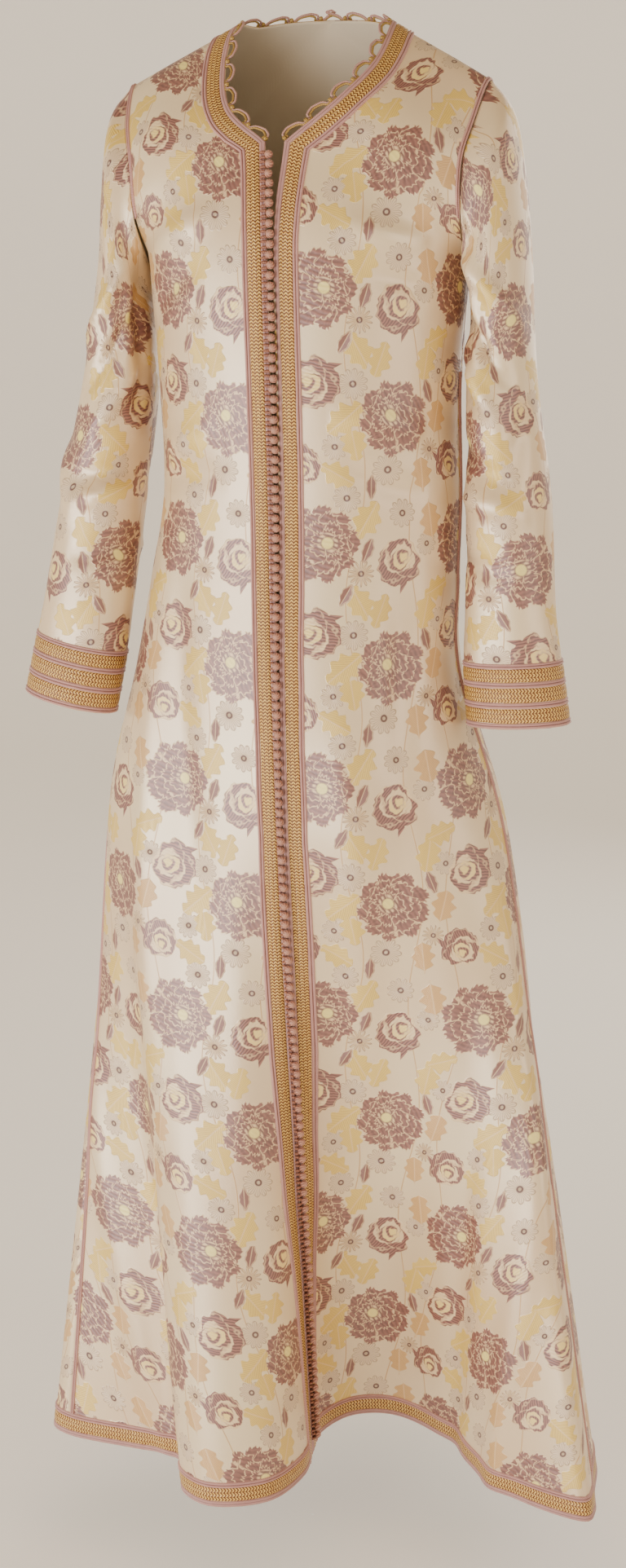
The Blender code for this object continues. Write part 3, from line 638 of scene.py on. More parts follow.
class Piece:
    """One mesh, gathered from grids of points with their places on the cloth in metres."""
    WELD = 0.00003

    def __init__(self):
        self.points, self.marks, self.faces, self.count = [], [], [], 0

    def add(self, points, marks, facing=1):
        """A grid of points (rows, columns, 3) and of marks (rows, columns, 2)."""
        rows, columns = points.shape[:2]
        index = np.arange(rows * columns).reshape(rows, columns) + self.count
        corners = (index[:-1, :-1], index[1:, :-1], index[1:, 1:], index[:-1, 1:])
        quads = np.stack(corners, axis=-1).reshape(-1, 4)
        self.faces.append(quads if facing > 0 else quads[:, ::-1])
        self.points.append(points.reshape(-1, 3))
        self.marks.append(marks.reshape(-1, 2))
        self.count += rows * columns

    def mesh(self, name, material):
        """The grids as one mesh, with their places on the cloth as its UV map."""
        mesh = bpy.data.meshes.new(name)
        quads = np.concatenate(self.faces)
        mesh.from_pydata(np.concatenate(self.points).tolist(), [], quads.tolist())
        marks = mesh.uv_layers.new(name="cloth")
        marks.uv.foreach_set("vector", np.concatenate(self.marks)[quads.ravel()].ravel())
        mesh.materials.append(material)
        return mesh

    def finish(self, name, material, slot, *nodes):
        """Makes the object: it rides with the robe and stands for these nodes of the part."""
        mesh = self.mesh(name, material)
        build = bmesh.new()
        build.from_mesh(mesh)
        bmesh.ops.remove_doubles(build, verts=build.verts[:], dist=self.WELD)
        bmesh.ops.dissolve_degenerate(build, edges=build.edges[:], dist=self.WELD / 3)
        build.to_mesh(mesh)
        build.free()
        mesh.shade_smooth()
        piece = show(name, mesh)
        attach(piece, "root")
        if nodes:
            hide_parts(*nodes)
        return piece


def marks_of(along, over):
    """Places on a strip: metres along it and metres over it."""
    return np.stack(np.broadcast_arrays(along[:, None], over[None, :]), axis=-1)


def tube(path, radius, sides=6):
    """A grid round a path of points, with its marks."""
    run = unit(np.gradient(path, axis=0))
    level = unit(np.cross(run, (0.1, 0.2, 1.0)))    # askew, so that it isn't the run itself
    rise = np.cross(level, run)
    turns = np.linspace(0, 2 * math.pi, sides + 1)
    wide = np.broadcast_to(np.asarray(radius), (len(path),))[:, None, None]
    ring = level[:, None] * np.cos(turns)[:, None] + rise[:, None] * np.sin(turns)[:, None]
    return path[:, None] + ring * wide, marks_of(arc_length(path), turns / (2 * math.pi))


# ---- cross-sections of trims: share of the width, height -----------------
CORD_PAIR = ((0, -.0004), (.03, .0006), (.12, .0014), (.25, .0018), (.38, .0014), (.46, .0006),
             (.50, .0000), (.54, .0006), (.62, .0014), (.75, .0018), (.88, .0014), (.97, .0006),
             (1, -.0004))
FLAT_BRAID = ((0, -.0004), (.04, .0006), (.12, .0010), (.50, .0013), (.88, .0010), (.96, .0006),
              (1, -.0004))
SILK_BRAID = ((0, -.0004), (.05, .0008), (.20, .0013), (.42, .0013), (.50, .0009), (.58, .0013),
              (.80, .0013), (.95, .0008), (1, -.0004))


class Layer(namedtuple("Layer", "start width section material slot")):
    """A braid or cord that lies on a panel, start metres in from the edge."""
    @property
    def over(self):
        return self.start + self.width * np.array([share for share, _ in self.section])

    @property
    def height(self):
        return np.array([height for _, height in self.section])


# ---- the cloth -----------------------------------------------------------
CLOTH_STEP = 0.007          # from row to row of a panel's grid
PANEL_COLUMNS = 56
SLEEVE_COLUMNS = 61
SLEEVE_ROWS = 100
SLEEVE_SLOPE = 1.02         # a sleeve is this much longer than its drop
FIRST_ROW = 0.08            # the first row below the shoulder seam's


def panel_grid(panel):
    """The cloth of a half, from just inside its edge to the side seam."""
    t = np.concatenate(([SHOULDER_READING], panel.rows_at(FIRST_ROW, NOTCH_ROW, CLOTH_STEP),
                        panel.rows_at(NOTCH_ROW, LAST_ROW, CLOTH_STEP)[1:]))
    start = panel.from_edge(t, edge_start(panel, t))[:, None]
    end = panel.from_side(t, SEAM / 2)[:, None]
    s = start + (end - start) * np.linspace(0, 1, PANEL_COLUMNS)
    t = np.broadcast_to(t[:, None], s.shape)
    points, _ = panel.place(s, t)
    u, v = panel.grain(s, t)
    return points, np.stack((u * panel.side, v), axis=-1)


def sleeve_grid(sleeve):
    turn = np.linspace(-1, 1, SLEEVE_COLUMNS)
    t = np.linspace(0, sleeve.last, SLEEVE_ROWS)
    points, _ = sleeve.place(turn[None, :], t[:, None])
    round_way = np.linalg.norm(np.diff(points, axis=1), axis=-1).sum(axis=1)
    u = turn[None, :] * round_way[:, None] / 2 * sleeve.side
    return points, np.stack((u, -points[..., 2] * SLEEVE_SLOPE), axis=-1)


def as_cloth(piece, lining):
    """Gives a shell its wall, with the cloth's reverse inside."""
    piece.data.materials.append(lining)
    wall = piece.modifiers.new("wall", 'SOLIDIFY')
    wall.thickness = WALL
    wall.offset = -1
    wall.material_offset = 1
    return piece


def make_cloth(brocade, lining):
    """The five sewn pieces: each is made of one grid, and the back of two."""
    halves = {f"front_{word}": [PANELS["front", side]] for side, word in SIDES}
    halves["back"] = [PANELS["back", side] for side, _ in SIDES]
    grids = {name: [(*panel_grid(panel), -panel.facing) for panel in panels]
             for name, panels in halves.items()}
    for side, word in SIDES:
        grids[f"sleeve_{word}"] = [(*sleeve_grid(SLEEVES[side]), -side)]
    cloths = {}
    for name, found in grids.items():
        shell = Piece()
        for grid in found:
            shell.add(*grid)
        cloths[name] = as_cloth(shell.finish(f"{name}_cloth", brocade, "brocade", name), lining)
    return cloths


# ---- bands ---------------------------------------------------------------
BAND_STEP = 0.004           # from row to row along a band
NECK_STEP = 0.0028          # the same round the neck
NECK_CENTRE_ROWS = 5
BELOW_NOTCH = 0.001         # a band's first row already stands back from the edge
OFF_THE_EDGE = 0.0002       # a band starts this far in from a hem or a cuff's edge
BAND_KINDS = ("cord_1", "braid_1", "cord_2")
HEM_ROW = (BODY[-1].z - HEM_Z) / SKIRT_STEPS    # a key row of the skirt, in metres
HEM_STRETCHES = (("front", RIGHT, False), ("back", RIGHT, True),
                 ("back", LEFT, False), ("front", LEFT, True))


def trim_layers(finish):
    """The band beside an edge: silk braid, gold braid, cord pair, from the edge in."""
    silk = Layer(0.0, CORD_WIDTH, SILK_BRAID, finish["silk braid"], "pink_cord")
    gold = Layer(CORD_WIDTH, BRAID_WIDTH, FLAT_BRAID, finish["gold braid"], "gold_braid")
    cord = Layer(CORD_WIDTH + BRAID_WIDTH, CORD_WIDTH, CORD_PAIR, finish["pink cord"], "pink_cord")
    return silk, gold, cord


def finish_trim(piece, name, layer):
    piece.finish(f"{name}_trim", layer.material, layer.slot, name)


def make_front_bands(layers):
    for side, word in SIDES:
        panel = PANELS["front", side]
        t = panel.rows_at(NOTCH_ROW, LAST_ROW, BAND_STEP)
        for layer, kind in zip(layers, BAND_KINDS):
            distance = layer.over[None, :] + edge_start(panel, t + BELOW_NOTCH)[:, None]
            s = distance * panel.from_edge(t, 1.0)[:, None]
            points, normals = panel.place(s, np.broadcast_to(t[:, None], s.shape))
            points = points + normals * layer.height[:, None]
            along = arc_length(points[:, len(layer.over) // 2])
            piece = Piece()
            piece.add(points, marks_of(along, layer.over - layer.start), -panel.facing)
            finish_trim(piece, f"front_{word}_{kind}", layer)


def neck_stretches():
    """Panels and rows, from the right notch over the back to the left notch."""
    stretches = []
    for side in (RIGHT, LEFT):
        front, back = PANELS["front", side], PANELS["back", side]
        up = front.rows_at(NOTCH_ROW, SHOULDER_READING, NECK_STEP)
        over = back.rows_at(SHOULDER_READING, NOTCH_ROW, NECK_STEP)
        pair = [(front, up), (back, over)]
        stretches += pair if side == RIGHT else [(panel, t[::-1]) for panel, t in pair[::-1]]
    return stretches


def neck_centre(panel, layer):
    """Readings that carry a band round the neck's centre back, from its row to the centre line."""
    share = np.linspace(0, 1, NECK_CENTRE_ROWS)
    top, below = np.array(float(NOTCH_ROW)), np.array(NOTCH_ROW + 1.0)
    drop = np.linalg.norm(panel.edge(below) - panel.edge(top))
    s = panel.from_edge(top, layer.over)[None, :] * (1 - share[:, None])
    t = NOTCH_ROW + layer.over[None, :] / drop * share[:, None]
    return s, t


def neck_grid(layer):
    """The band round the whole neck, as one grid of points and normals."""
    points, normals = [], []
    for panel, t in neck_stretches():
        s = layer.over[None, :] * panel.from_edge(t, 1.0)[:, None]
        found = panel.place(s, np.broadcast_to(t[:, None], s.shape))
        if panel.face == "back":
            corner = panel.place(*neck_centre(panel, layer))
            if panel.side == RIGHT:
                found = [np.concatenate((a, b[1:])) for a, b in zip(found, corner)]
            else:
                found = [np.concatenate((b[:0:-1], a)) for a, b in zip(found, corner)]
        points.append(found[0])
        normals.append(found[1])
    return np.concatenate(points), np.concatenate(normals)


def make_neck_band(layers):
    for layer, kind in zip(layers, BAND_KINDS):
        points, normals = neck_grid(layer)
        points = points + normals * layer.height[:, None]
        piece = Piece()
        piece.add(points, marks_of(arc_length(points[:, 0]), layer.over - layer.start), -1)
        finish_trim(piece, f"neck_{kind}", layer)


def make_hem_band(layers):
    """The band right round the hem, from one front band to the other."""
    for layer, kind in zip(layers, BAND_KINDS):
        piece = Piece()
        along = 0.0
        for face, side, turned in HEM_STRETCHES:
            panel = PANELS[face, side]
            first = panel.from_edge(np.array(float(LAST_ROW)), HEM_BAND) if face == "front" else 0.0
            s = np.linspace(first, 1.0, int(panel.grain_out[-1, -1] / BAND_STEP))
            s = s[::-1] if turned else s
            t = LAST_ROW - (layer.over + OFF_THE_EDGE) / HEM_ROW
            points, normals = panel.place(s[:, None], t[None, :])
            points = points + normals * layer.height[:, None]
            reach = along + arc_length(points[:, len(t) // 2])
            along = reach[-1]
            facing = -panel.facing if turned else panel.facing
            piece.add(points, marks_of(reach, layer.over - layer.start), facing)
        finish_trim(piece, f"hem_{kind}", layer)


CUFF_ROWS = 7               # cord and braid in turn, from the cuff's edge up
CUFF_COLUMNS = 96
SIDE_CORD_STEP = 0.005
SEAM_CORD_HEIGHT = 0.9      # of a cord pair's height
SIDE_CORD_TOP = UNDERARM_ROW + 0.9
ARMHOLE_CORD_ROWS = 50, 44  # in front, and behind
ARMHOLE_CORD_FOOT = UNDERARM_ROW - 1, UNDERARM_ROW - 1 - 1 / 3


def cuff_name(row):
    """The part numbers the cuff's rows from the top, and this counts them from the edge."""
    upwards = CUFF_ROWS - 1 - row
    return f"braid_{upwards // 2 + 1}" if upwards % 2 else f"cord_{upwards // 2 + 1}"


def make_cuffs(gold, cord):
    turn = np.linspace(-1, 1, CUFF_COLUMNS)
    for side, word in SIDES:
        sleeve = SLEEVES[side]
        start = 0.0
        for row in range(CUFF_ROWS):
            layer = gold if row % 2 else cord
            mark = start + (layer.over - layer.start)[::-1]
            start += layer.width
            metre = sleeve.last - sleeve.from_cuff(turn, 1.0)
            t = sleeve.from_cuff(turn, 0.0)[:, None] - metre[:, None] * (mark + OFF_THE_EDGE)[None, :]
            points, normals = sleeve.place(turn[:, None], t)
            points = points + normals * layer.height[::-1][:, None]
            piece = Piece()
            along = arc_length(points[:, len(mark) // 2])
            piece.add(points, marks_of(along, mark - mark[-1]), side)
            finish_trim(piece, f"cuff_{word}_{cuff_name(row)}", layer)


def make_seam_cords(cord):
    """The cord on each armhole, front and back, and on each side seam."""
    height = cord.height * SEAM_CORD_HEIGHT
    over = (cord.over - cord.start) * SIDE_CORD_WIDTH / CORD_WIDTH + SEAM / 2

    def beside_seam(panel, t):
        s = 1 - over[None, :] * (1 - panel.from_side(t, 1.0))[:, None]
        found, normals = panel.place(s, np.broadcast_to(t[:, None], s.shape))
        return found + normals * height[:, None]

    for side, word in SIDES:
        front, back = PANELS["front", side], PANELS["back", side]
        up = np.linspace(ARMHOLE_CORD_FOOT[0], SHOULDER_READING, ARMHOLE_CORD_ROWS[0])
        down = np.linspace(SHOULDER_READING, ARMHOLE_CORD_FOOT[1], ARMHOLE_CORD_ROWS[1])
        armhole = np.concatenate((beside_seam(front, up), beside_seam(back, down)))
        hem = LAST_ROW - HEM_BAND / HEM_ROW
        seam = beside_seam(front, front.rows_at(SIDE_CORD_TOP, hem, SIDE_CORD_STEP))
        for points, kind, facing in ((armhole, "armhole", front.facing), (seam, "side", -front.facing)):
            piece = Piece()
            piece.add(points, marks_of(arc_length(points[:, 0]), over), facing)
            finish_trim(piece, f"{kind}_cord_{word}", cord)


# ---- buttons and loops ---------------------------------------------------
CLOSURE_STEP = 0.002
FIRST_BUTTON = 1.5          # pitches below the notch
BUTTON_TILTS, BUTTON_SPINS = 9, 17
BUTTON_WANDER = 0.0005      # off the line, to and fro
BUTTON_KNOT, BUTTON_UNEVEN = 0.05, 0.04     # shares of the radius
LOOP_RADIUS = 0.0013
LOOP_FEET = (-0.0026, 0.0030)   # where a loop leaves the band, above and below its button
LOOP_PINCH = 0.25           # how far the two feet close up at the button
LOOP_UNDER_BAND = 0.0046
LOOP_REACH = 0.92           # of the way from the band to the button's middle
LOOP_BED, LOOP_ARCH = 0.0019, 0.0022


def closure_line():
    """Where the buttons sit: points, normals, how far the edges gape, and the right edge."""
    right, left = PANELS["front", RIGHT], PANELS["front", LEFT]
    t = right.rows_at(NOTCH_ROW, LAST_ROW, CLOSURE_STEP)
    edge, lift = right.place(right.from_edge(t, closure_gap(t)), t)
    other, other_lift = left.place(left.from_edge(t, closure_gap(t)), t)
    apart = np.linalg.norm(other - edge, axis=-1)
    share = np.minimum(0.5, BUTTON_FROM_EDGE / apart)[:, None]
    return edge + (other - edge) * share, unit(lift + other_lift), apart, edge, lift


def button_places(reach):
    """How far along the closure each button is."""
    count = int((reach[-1] - 2 * BUTTON_PITCH) / BUTTON_PITCH)
    return BUTTON_PITCH * (FIRST_BUTTON + np.arange(count))


def make_buttons(line, silk):
    """Round beads of silk, each a little uneven and a little off the line."""
    middle, lift, apart, _, _ = line
    reach = arc_length(middle)
    along = button_places(reach)
    high = np.maximum(BUTTON_LIFT, BUTTON_LIFT_CLOSED - read_line(apart, reach, along) / 4)
    normal = unit(read_line(lift, reach, along))
    ahead, behind = along + CLOSURE_STEP, along - CLOSURE_STEP
    down = unit(read_line(middle, reach, ahead) - read_line(middle, reach, behind))
    centre = read_line(middle, reach, along) + normal * high[:, None]
    piece = Piece()
    tilt = np.linspace(0, math.pi, BUTTON_TILTS)[:, None]
    spin = np.linspace(0, 2 * math.pi, BUTTON_SPINS)[None, :]
    marks = np.stack(np.broadcast_arrays(spin / math.pi / 2, tilt / math.pi), axis=-1)
    wander = np.sin(np.arange(len(along)) * 2.4) * BUTTON_WANDER
    for i in range(len(along)):
        over = np.cross(normal[i], down[i])
        knot = 1 + BUTTON_KNOT * np.sin(3 * spin + 5 * tilt + i) * np.sin(tilt)
        radius = BUTTON_RADIUS * knot * (1 + BUTTON_UNEVEN * math.sin(i * 1.7))
        ring = np.sin(tilt) * radius
        piece.add(centre[i] + over * wander[i]
                  + over * (ring * np.cos(spin))[..., None]
                  + down[i] * (ring * np.sin(spin))[..., None]
                  + normal[i] * (np.cos(tilt) * radius)[..., None], marks)
    piece.finish("button_row_beads", silk, "button_cord", "button_row")


def make_loops(line, cord):
    """A loop of cord for each button, from under the band's edge round the button."""
    middle, _, _, edge, edge_lift = line
    reach = arc_length(middle)
    piece = Piece()
    bow = np.linspace(0, 1, 9)
    arch = LOOP_ARCH * np.sin(np.pi * np.minimum(bow * 1.15, 1)) ** 0.8
    for place in button_places(reach):
        for foot in LOOP_FEET:
            along = place + foot * (1 - LOOP_PINCH * bow)
            start, centre, normal = (read_line(x, reach, along) for x in (edge, middle, edge_lift))
            from_band = start + unit(start - centre) * LOOP_UNDER_BAND
            path = from_band + (centre - from_band) * (bow * LOOP_REACH)[:, None]
            piece.add(*tube(path + unit(normal) * (LOOP_BED + arch)[:, None], LOOP_RADIUS))
    piece.finish("button_loops_cord", cord, "loop_cord", "button_loops")


# ---- the scalloped edging inside the neck --------------------------------
SCALLOP = 0.029             # from one knot to the next
SCALLOP_SHARE = 0.72        # of that, the bump's width
SCALLOP_LEAN = 0.03
EDGING_RADIUS = 0.0011
EDGING_SIDES = 8
EDGING_LIFT = 0.0005
PINK_FLOOR, PINK_HEIGHT = .0014, .0082
GOLD_FLOOR, GOLD_HEIGHT = .0004, .0066
GOLD_SQUEEZE = 0.0016       # the gold scallop is this much narrower at each foot
SAME_PLACE = 1e-5
KNOT_RADII = np.array((0.0003, 0.0017, 0.0024, 0.0017, 0.0003))
KNOT_HALF, KNOT_END = 0.0018, 0.003
KNOT_OUT, KNOT_LIFT = 0.0022, 0.0009


def make_picot(silk, pink, gold):
    """Two lines of scalloped cord that stand into the neck, with a knot between scallops."""
    points, normals = neck_grid(silk)
    steps = np.linalg.norm(np.diff(points[:, 0], axis=0), axis=-1)
    keep = np.concatenate(([True], steps > SAME_PLACE))
    edge, lift = points[keep, 0], normals[keep, 0]
    inwards = unit(edge - points[keep, 3])
    reach = arc_length(edge)
    count = round(reach[-1] / SCALLOP)
    pitch = reach[-1] / count

    def on_edge(along):
        base, way, up = (read_line(x, reach, along) for x in (edge, inwards, lift))
        return base, unit(way), up

    q = np.linspace(0, 1, 25)
    bump = q * SCALLOP_SHARE + 0.5 - SCALLOP_SHARE / 2 - SCALLOP_LEAN * np.sin(4 * np.pi * q)
    out = np.sin(np.pi * q) ** 0.5
    squeeze = (GOLD_SQUEEZE * np.cos(np.pi * q))[:, None]
    pink_line, gold_line = [], []
    for i in range(count):
        base, way, up = on_edge(pitch * (i + bump))
        pink_line.append(base + way * (PINK_FLOOR + PINK_HEIGHT * out)[:, None] + up * EDGING_LIFT)
        base = base + unit(np.gradient(base, axis=0)) * squeeze
        gold_line.append(base + way * (GOLD_FLOOR + GOLD_HEIGHT * out)[:, None] + up * EDGING_LIFT)
    for key, line, material, nodes in (("pink", pink_line, pink, ()),
                                       ("gold", gold_line, gold, ("neck_picot",))):
        piece = Piece()
        piece.add(*tube(np.concatenate(line), EDGING_RADIUS, EDGING_SIDES))
        piece.finish(f"neck_picot_{key}", material, "picot_lace", *nodes)
    knots = Piece()
    for i in range(count + 1):
        along = min(max(pitch * i, KNOT_END), reach[-1] - KNOT_END)
        base, way, up = on_edge(along + np.array((-KNOT_HALF, 0.0, KNOT_HALF)))
        path = base + way * KNOT_OUT + up * KNOT_LIFT
        knots.add(*tube(np.concatenate((path[:1], path, path[-1:])), KNOT_RADII, EDGING_SIDES))
    knots.finish("neck_picot_knots", gold, "picot_lace")


# ---- shader maths --------------------------------------------------------
class Number:
    """A socket of a material, so that shader maths reads as Python."""
    def __init__(self, paint, socket):
        self.paint, self.socket = paint, socket

    def __add__(self, other):
        return self.paint.maths("ADD", self, other)

    def __sub__(self, other):
        return self.paint.maths("SUBTRACT", self, other)

    def __rsub__(self, other):
        return self.paint.maths("SUBTRACT", other, self)

    def __mul__(self, other):
        return self.paint.maths("MULTIPLY", self, other)

    def __truediv__(self, other):
        return self.paint.maths("DIVIDE", self, other)

    def __pow__(self, other):
        return self.paint.maths("POWER", self, other)

    def __abs__(self):
        return self.paint.maths("ABSOLUTE", self)

    __radd__ = __add__
    __rmul__ = __mul__


def rgb(red, green, blue):
    """A colour named by its screen values, from 0 to 255."""
    return tuple(((value / 255 + 0.055) / 1.055) ** 2.4 for value in (red, green, blue)) + (1.0,)


class Nodes:
    """A tree of nodes, and the one way that nodes are added to it."""
    def __init__(self, tree):
        self.tree = tree

    def node(self, kind, settings=(), inputs=()):
        """A node of this type: its settings first, then values or links into its sockets."""
        node = self.tree.nodes.new(f"ShaderNode{kind}")
        for setting, value in dict(settings).items():
            setattr(node, setting, value)
        for socket, value in dict(inputs).items():
            if isinstance(value, Number):
                self.tree.links.new(value.socket, node.inputs[socket])
            else:
                node.inputs[socket].default_value = value
        return node

    def maths(self, operation, *values, clamp=False):
        settings = {"operation": operation, "use_clamp": clamp}
        return Number(self, self.node("Math", settings, enumerate(values)).outputs[0])

    def vector(self, operation, *values, out="Vector"):
        node = self.node("VectorMath", {"operation": operation}, enumerate(values))
        return Number(self, node.outputs[out])

    def mix(self, share, first, second):
        """A colour: first where share is 0, second where it is 1."""
        node = self.node("Mix", {"data_type": 'RGBA'}, {0: share, 6: first, 7: second})
        return Number(self, node.outputs[2])

    def swap(self, share, first, second):
        """The same for vectors."""
        node = self.node("Mix", {"data_type": 'VECTOR'}, {0: share, 4: first, 5: second})
        return Number(self, node.outputs[1])

    def parts(self, vector):
        node = self.node("SeparateXYZ", (), {0: vector})
        return [Number(self, socket) for socket in node.outputs]

    def noise(self, vector, scale, detail=2.0):
        inputs = {"Vector": vector, "Scale": scale, "Detail": detail}
        return Number(self, self.node("TexNoise", (), inputs).outputs[0])

    def sine(self, value):
        return self.maths("SINE", value)

    def below(self, value, limit, soft):
        """1 where value is below limit, with an edge this soft."""
        if isinstance(limit, Number):
            return self.maths("MULTIPLY_ADD", limit - value, 1 / soft, 0.5, clamp=True)
        return self.maths("MULTIPLY_ADD", value, -1 / soft, limit / soft + 0.5, clamp=True)


class Paint(Nodes):
    """A material, its Principled shader and the nodes that vary it over the cloth."""
    def __init__(self, name, **uniform):
        self.material = bpy.data.materials.new(name)
        self.material.use_nodes = True
        super().__init__(self.material.node_tree)
        self.shader = self.tree.nodes["Principled BSDF"]
        for socket, value in uniform.items():
            self.shader.inputs[socket.replace("_", " ")].default_value = value

    def cloth(self):
        """Places on the cloth, in metres."""
        return Number(self, self.node("UVMap", {"uv_map": "cloth"}).outputs[0])

    def feed(self, socket, value):
        self.tree.links.new(value.socket, self.shader.inputs[socket])

    def bump(self, height, distance, strength=0.6):
        inputs = {"Height": height, "Distance": distance, "Strength": strength}
        self.feed("Normal", Number(self, self.node("Bump", (), inputs).outputs[0]))


# ---- the brocade's flowers -----------------------------------------------
TILE = (.155, .235)         # one repeat of the weave, across and down
# A motif of the repeat: where its middle is, half its size, its turn in degrees
# and its kind, from 0 to 1 as the drawings below read it.
Motif = namedtuple("Motif", "x y size turn kind")
OPEN, CUPPED = .2, .8
BLOOMS = (
    Motif(.040, .042, .039, 20, OPEN),
    Motif(.112, .160, .038, 160, OPEN),
    Motif(.116, .060, .026, 10, CUPPED),
    Motif(.036, .128, .027, 130, CUPPED),
    Motif(.022, .203, .022, 250, CUPPED),
)
YELLOW, PEACH, MAUVE = .15, .5, .85
LEAVES = (
    Motif(.083, .020, .020, 60, YELLOW),
    Motif(.078, .098, .019, 120, YELLOW),
    Motif(.098, .106, .017, 70, YELLOW),
    Motif(.064, .160, .021, 40, YELLOW),
    Motif(.072, .182, .018, 100, YELLOW),
    Motif(.148, .108, .019, 80, YELLOW),
    Motif(.006, .088, .017, 20, YELLOW),
    Motif(.056, .212, .018, 150, YELLOW),
    Motif(.150, .022, .019, 100, PEACH),
    Motif(.006, .160, .018, 75, PEACH),
    Motif(.140, .212, .017, 95, PEACH),
    Motif(.084, .048, .013, 70, MAUVE),
    Motif(.150, .136, .013, 110, MAUVE),
    Motif(.064, .090, .012, 60, MAUVE),
    Motif(.088, .224, .012, 85, MAUVE),
)
SILVER, SPIKY = .2, .8
DAISIES = (
    Motif(.072, .128, .015, 0, SILVER),
    Motif(.104, .208, .016, 10, SILVER),
    Motif(.118, .014, .014, 20, SILVER),
    Motif(.054, .186, .013, 5, SILVER),
    Motif(.146, .044, .012, 15, SILVER),
    Motif(.064, .234, .014, 0, SILVER),
    Motif(.010, .118, .012, 30, SILVER),
    Motif(.078, .070, .013, 0, SPIKY),
    Motif(.150, .190, .011, 12, SPIKY),
)


def nearest(paint, place, motifs):
    """Each motif's own place, in motif sizes and turned with it; its kind comes as the third number."""
    best, best_reach = None, None
    for m in motifs:
        shift = (0.5 - m.x / TILE[0], 0.5 - m.y / TILE[1], m.kind)
        cell = paint.vector("FRACTION", paint.vector("ADD", place, shift))
        scale = (TILE[0] / m.size, TILE[1] / m.size, 1.0)
        local = paint.vector("MULTIPLY_ADD", cell, scale, (-0.5 * scale[0], -0.5 * scale[1], 0.0))
        turned = paint.node("VectorRotate", {"rotation_type": 'Z_AXIS'},
                            {"Vector": local, "Angle": math.radians(m.turn)})
        local = Number(paint, turned.outputs[0])
        flat = paint.vector("MULTIPLY", local, (1.0, 1.0, 0.0))
        reach = paint.vector("LENGTH", flat, out="Value")
        if best is None:
            best, best_reach = local, reach
        else:
            closer = paint.maths("LESS_THAN", reach, best_reach)
            best = paint.swap(closer, best, local)
            best_reach = paint.maths("MINIMUM", best_reach, reach)
    return best, best_reach


CREAM, CHAMPAGNE = rgb(232, 210, 168), rgb(222, 192, 152)
OUTLINE = rgb(230, 196, 146)
MAUVE_DARK, MAUVE_LIGHT = rgb(92, 44, 38), rgb(158, 100, 84)
YELLOW_DARK, YELLOW_LIGHT = rgb(196, 152, 52), rgb(242, 212, 104)
PEACH_DARK, PEACH_LIGHT = rgb(192, 142, 76), rgb(220, 176, 108)
SILVER_DARK, SILVER_LIGHT = rgb(150, 116, 84), rgb(230, 204, 166)
HEART = rgb(236, 216, 124)
# the colour of the painted shade in the groove of a cord pair
GROOVE_SHADE = rgb(118, 74, 78)


def draw_leaves(paint, place, silk):
    """Pointed buds and lobed leaves, hatched in a herringbone."""
    local, _ = nearest(paint, place, LEAVES)
    x, y, kind = paint.parts(local)
    mauve = paint.maths("GREATER_THAN", kind, 0.7)
    wobble = paint.sine(x * 11.0 + kind * 9.0) * (0.10 - mauve * 0.07) + (silk - 0.5) * 0.25
    wide = abs(y) * (0.85 + mauve * 0.3) + x * x * 0.5 + wobble
    mask = paint.below(wide, 0.5, 0.06)
    hatch = paint.sine((x + abs(y) * 1.2) * 62.0 + silk * 3.0) * 0.5 + 0.5
    peach = paint.maths("COMPARE", kind, PEACH, 0.1)
    dark = paint.mix(mauve, paint.mix(peach, YELLOW_DARK, PEACH_DARK), MAUVE_DARK)
    light = paint.mix(mauve, paint.mix(peach, YELLOW_LIGHT, PEACH_LIGHT), MAUVE_LIGHT)
    colour = paint.mix(hatch, dark, light)
    rim = paint.below(abs(wide - 0.44), 0.04, 0.05) * mauve
    rib = paint.below(abs(y), 0.035, 0.04)
    return mask, paint.mix(paint.maths("MAXIMUM", rim, rib) * 0.7, colour, OUTLINE), hatch


def draw_daisies(paint, place):
    """Daisies in silvery outline, and small spiky mauve ones."""
    local, reach = nearest(paint, place, DAISIES)
    x, y, kind = paint.parts(local)
    angle = paint.maths("ARCTAN2", y, x)
    spiky = paint.maths("GREATER_THAN", kind, 0.5)
    round_lobe = abs(paint.sine(angle * 5.5)) ** 0.6 * 0.34 + 0.62
    sharp_lobe = abs(paint.sine(angle * 7.0)) * 0.55 + 0.42
    limit = round_lobe + (sharp_lobe - round_lobe) * spiky
    mask = paint.below(reach, limit, 0.07)
    rim = paint.below(abs(reach - limit), 0.05, 0.06)
    rays = paint.sine(angle * 33.0) * 0.5 + 0.5
    line = paint.maths("MAXIMUM", rim, rays * 0.55)
    petal = paint.mix(line, paint.mix(spiky, SILVER_LIGHT, OUTLINE),
                      paint.mix(spiky, SILVER_DARK, MAUVE_DARK))
    ring = paint.below(abs(reach - 0.17), 0.06, 0.06)
    colour = paint.mix(ring, petal, MAUVE_DARK)
    return mask, colour, rays


# The petals of an open rose, ring by ring: size, how many, their turn and how
# far the ring's middle lies from the bloom's.
PETAL_RINGS = (
    (0.95, 9, 0.3, (0.00, 0.00)),
    (0.76, 7, 1.2, (0.06, -0.04)),
    (0.56, 6, 0.2, (0.11, 0.00)),
    (0.37, 5, 0.9, (0.14, 0.03)),
)
BLOOM_HEART = (0.15, 0.03)


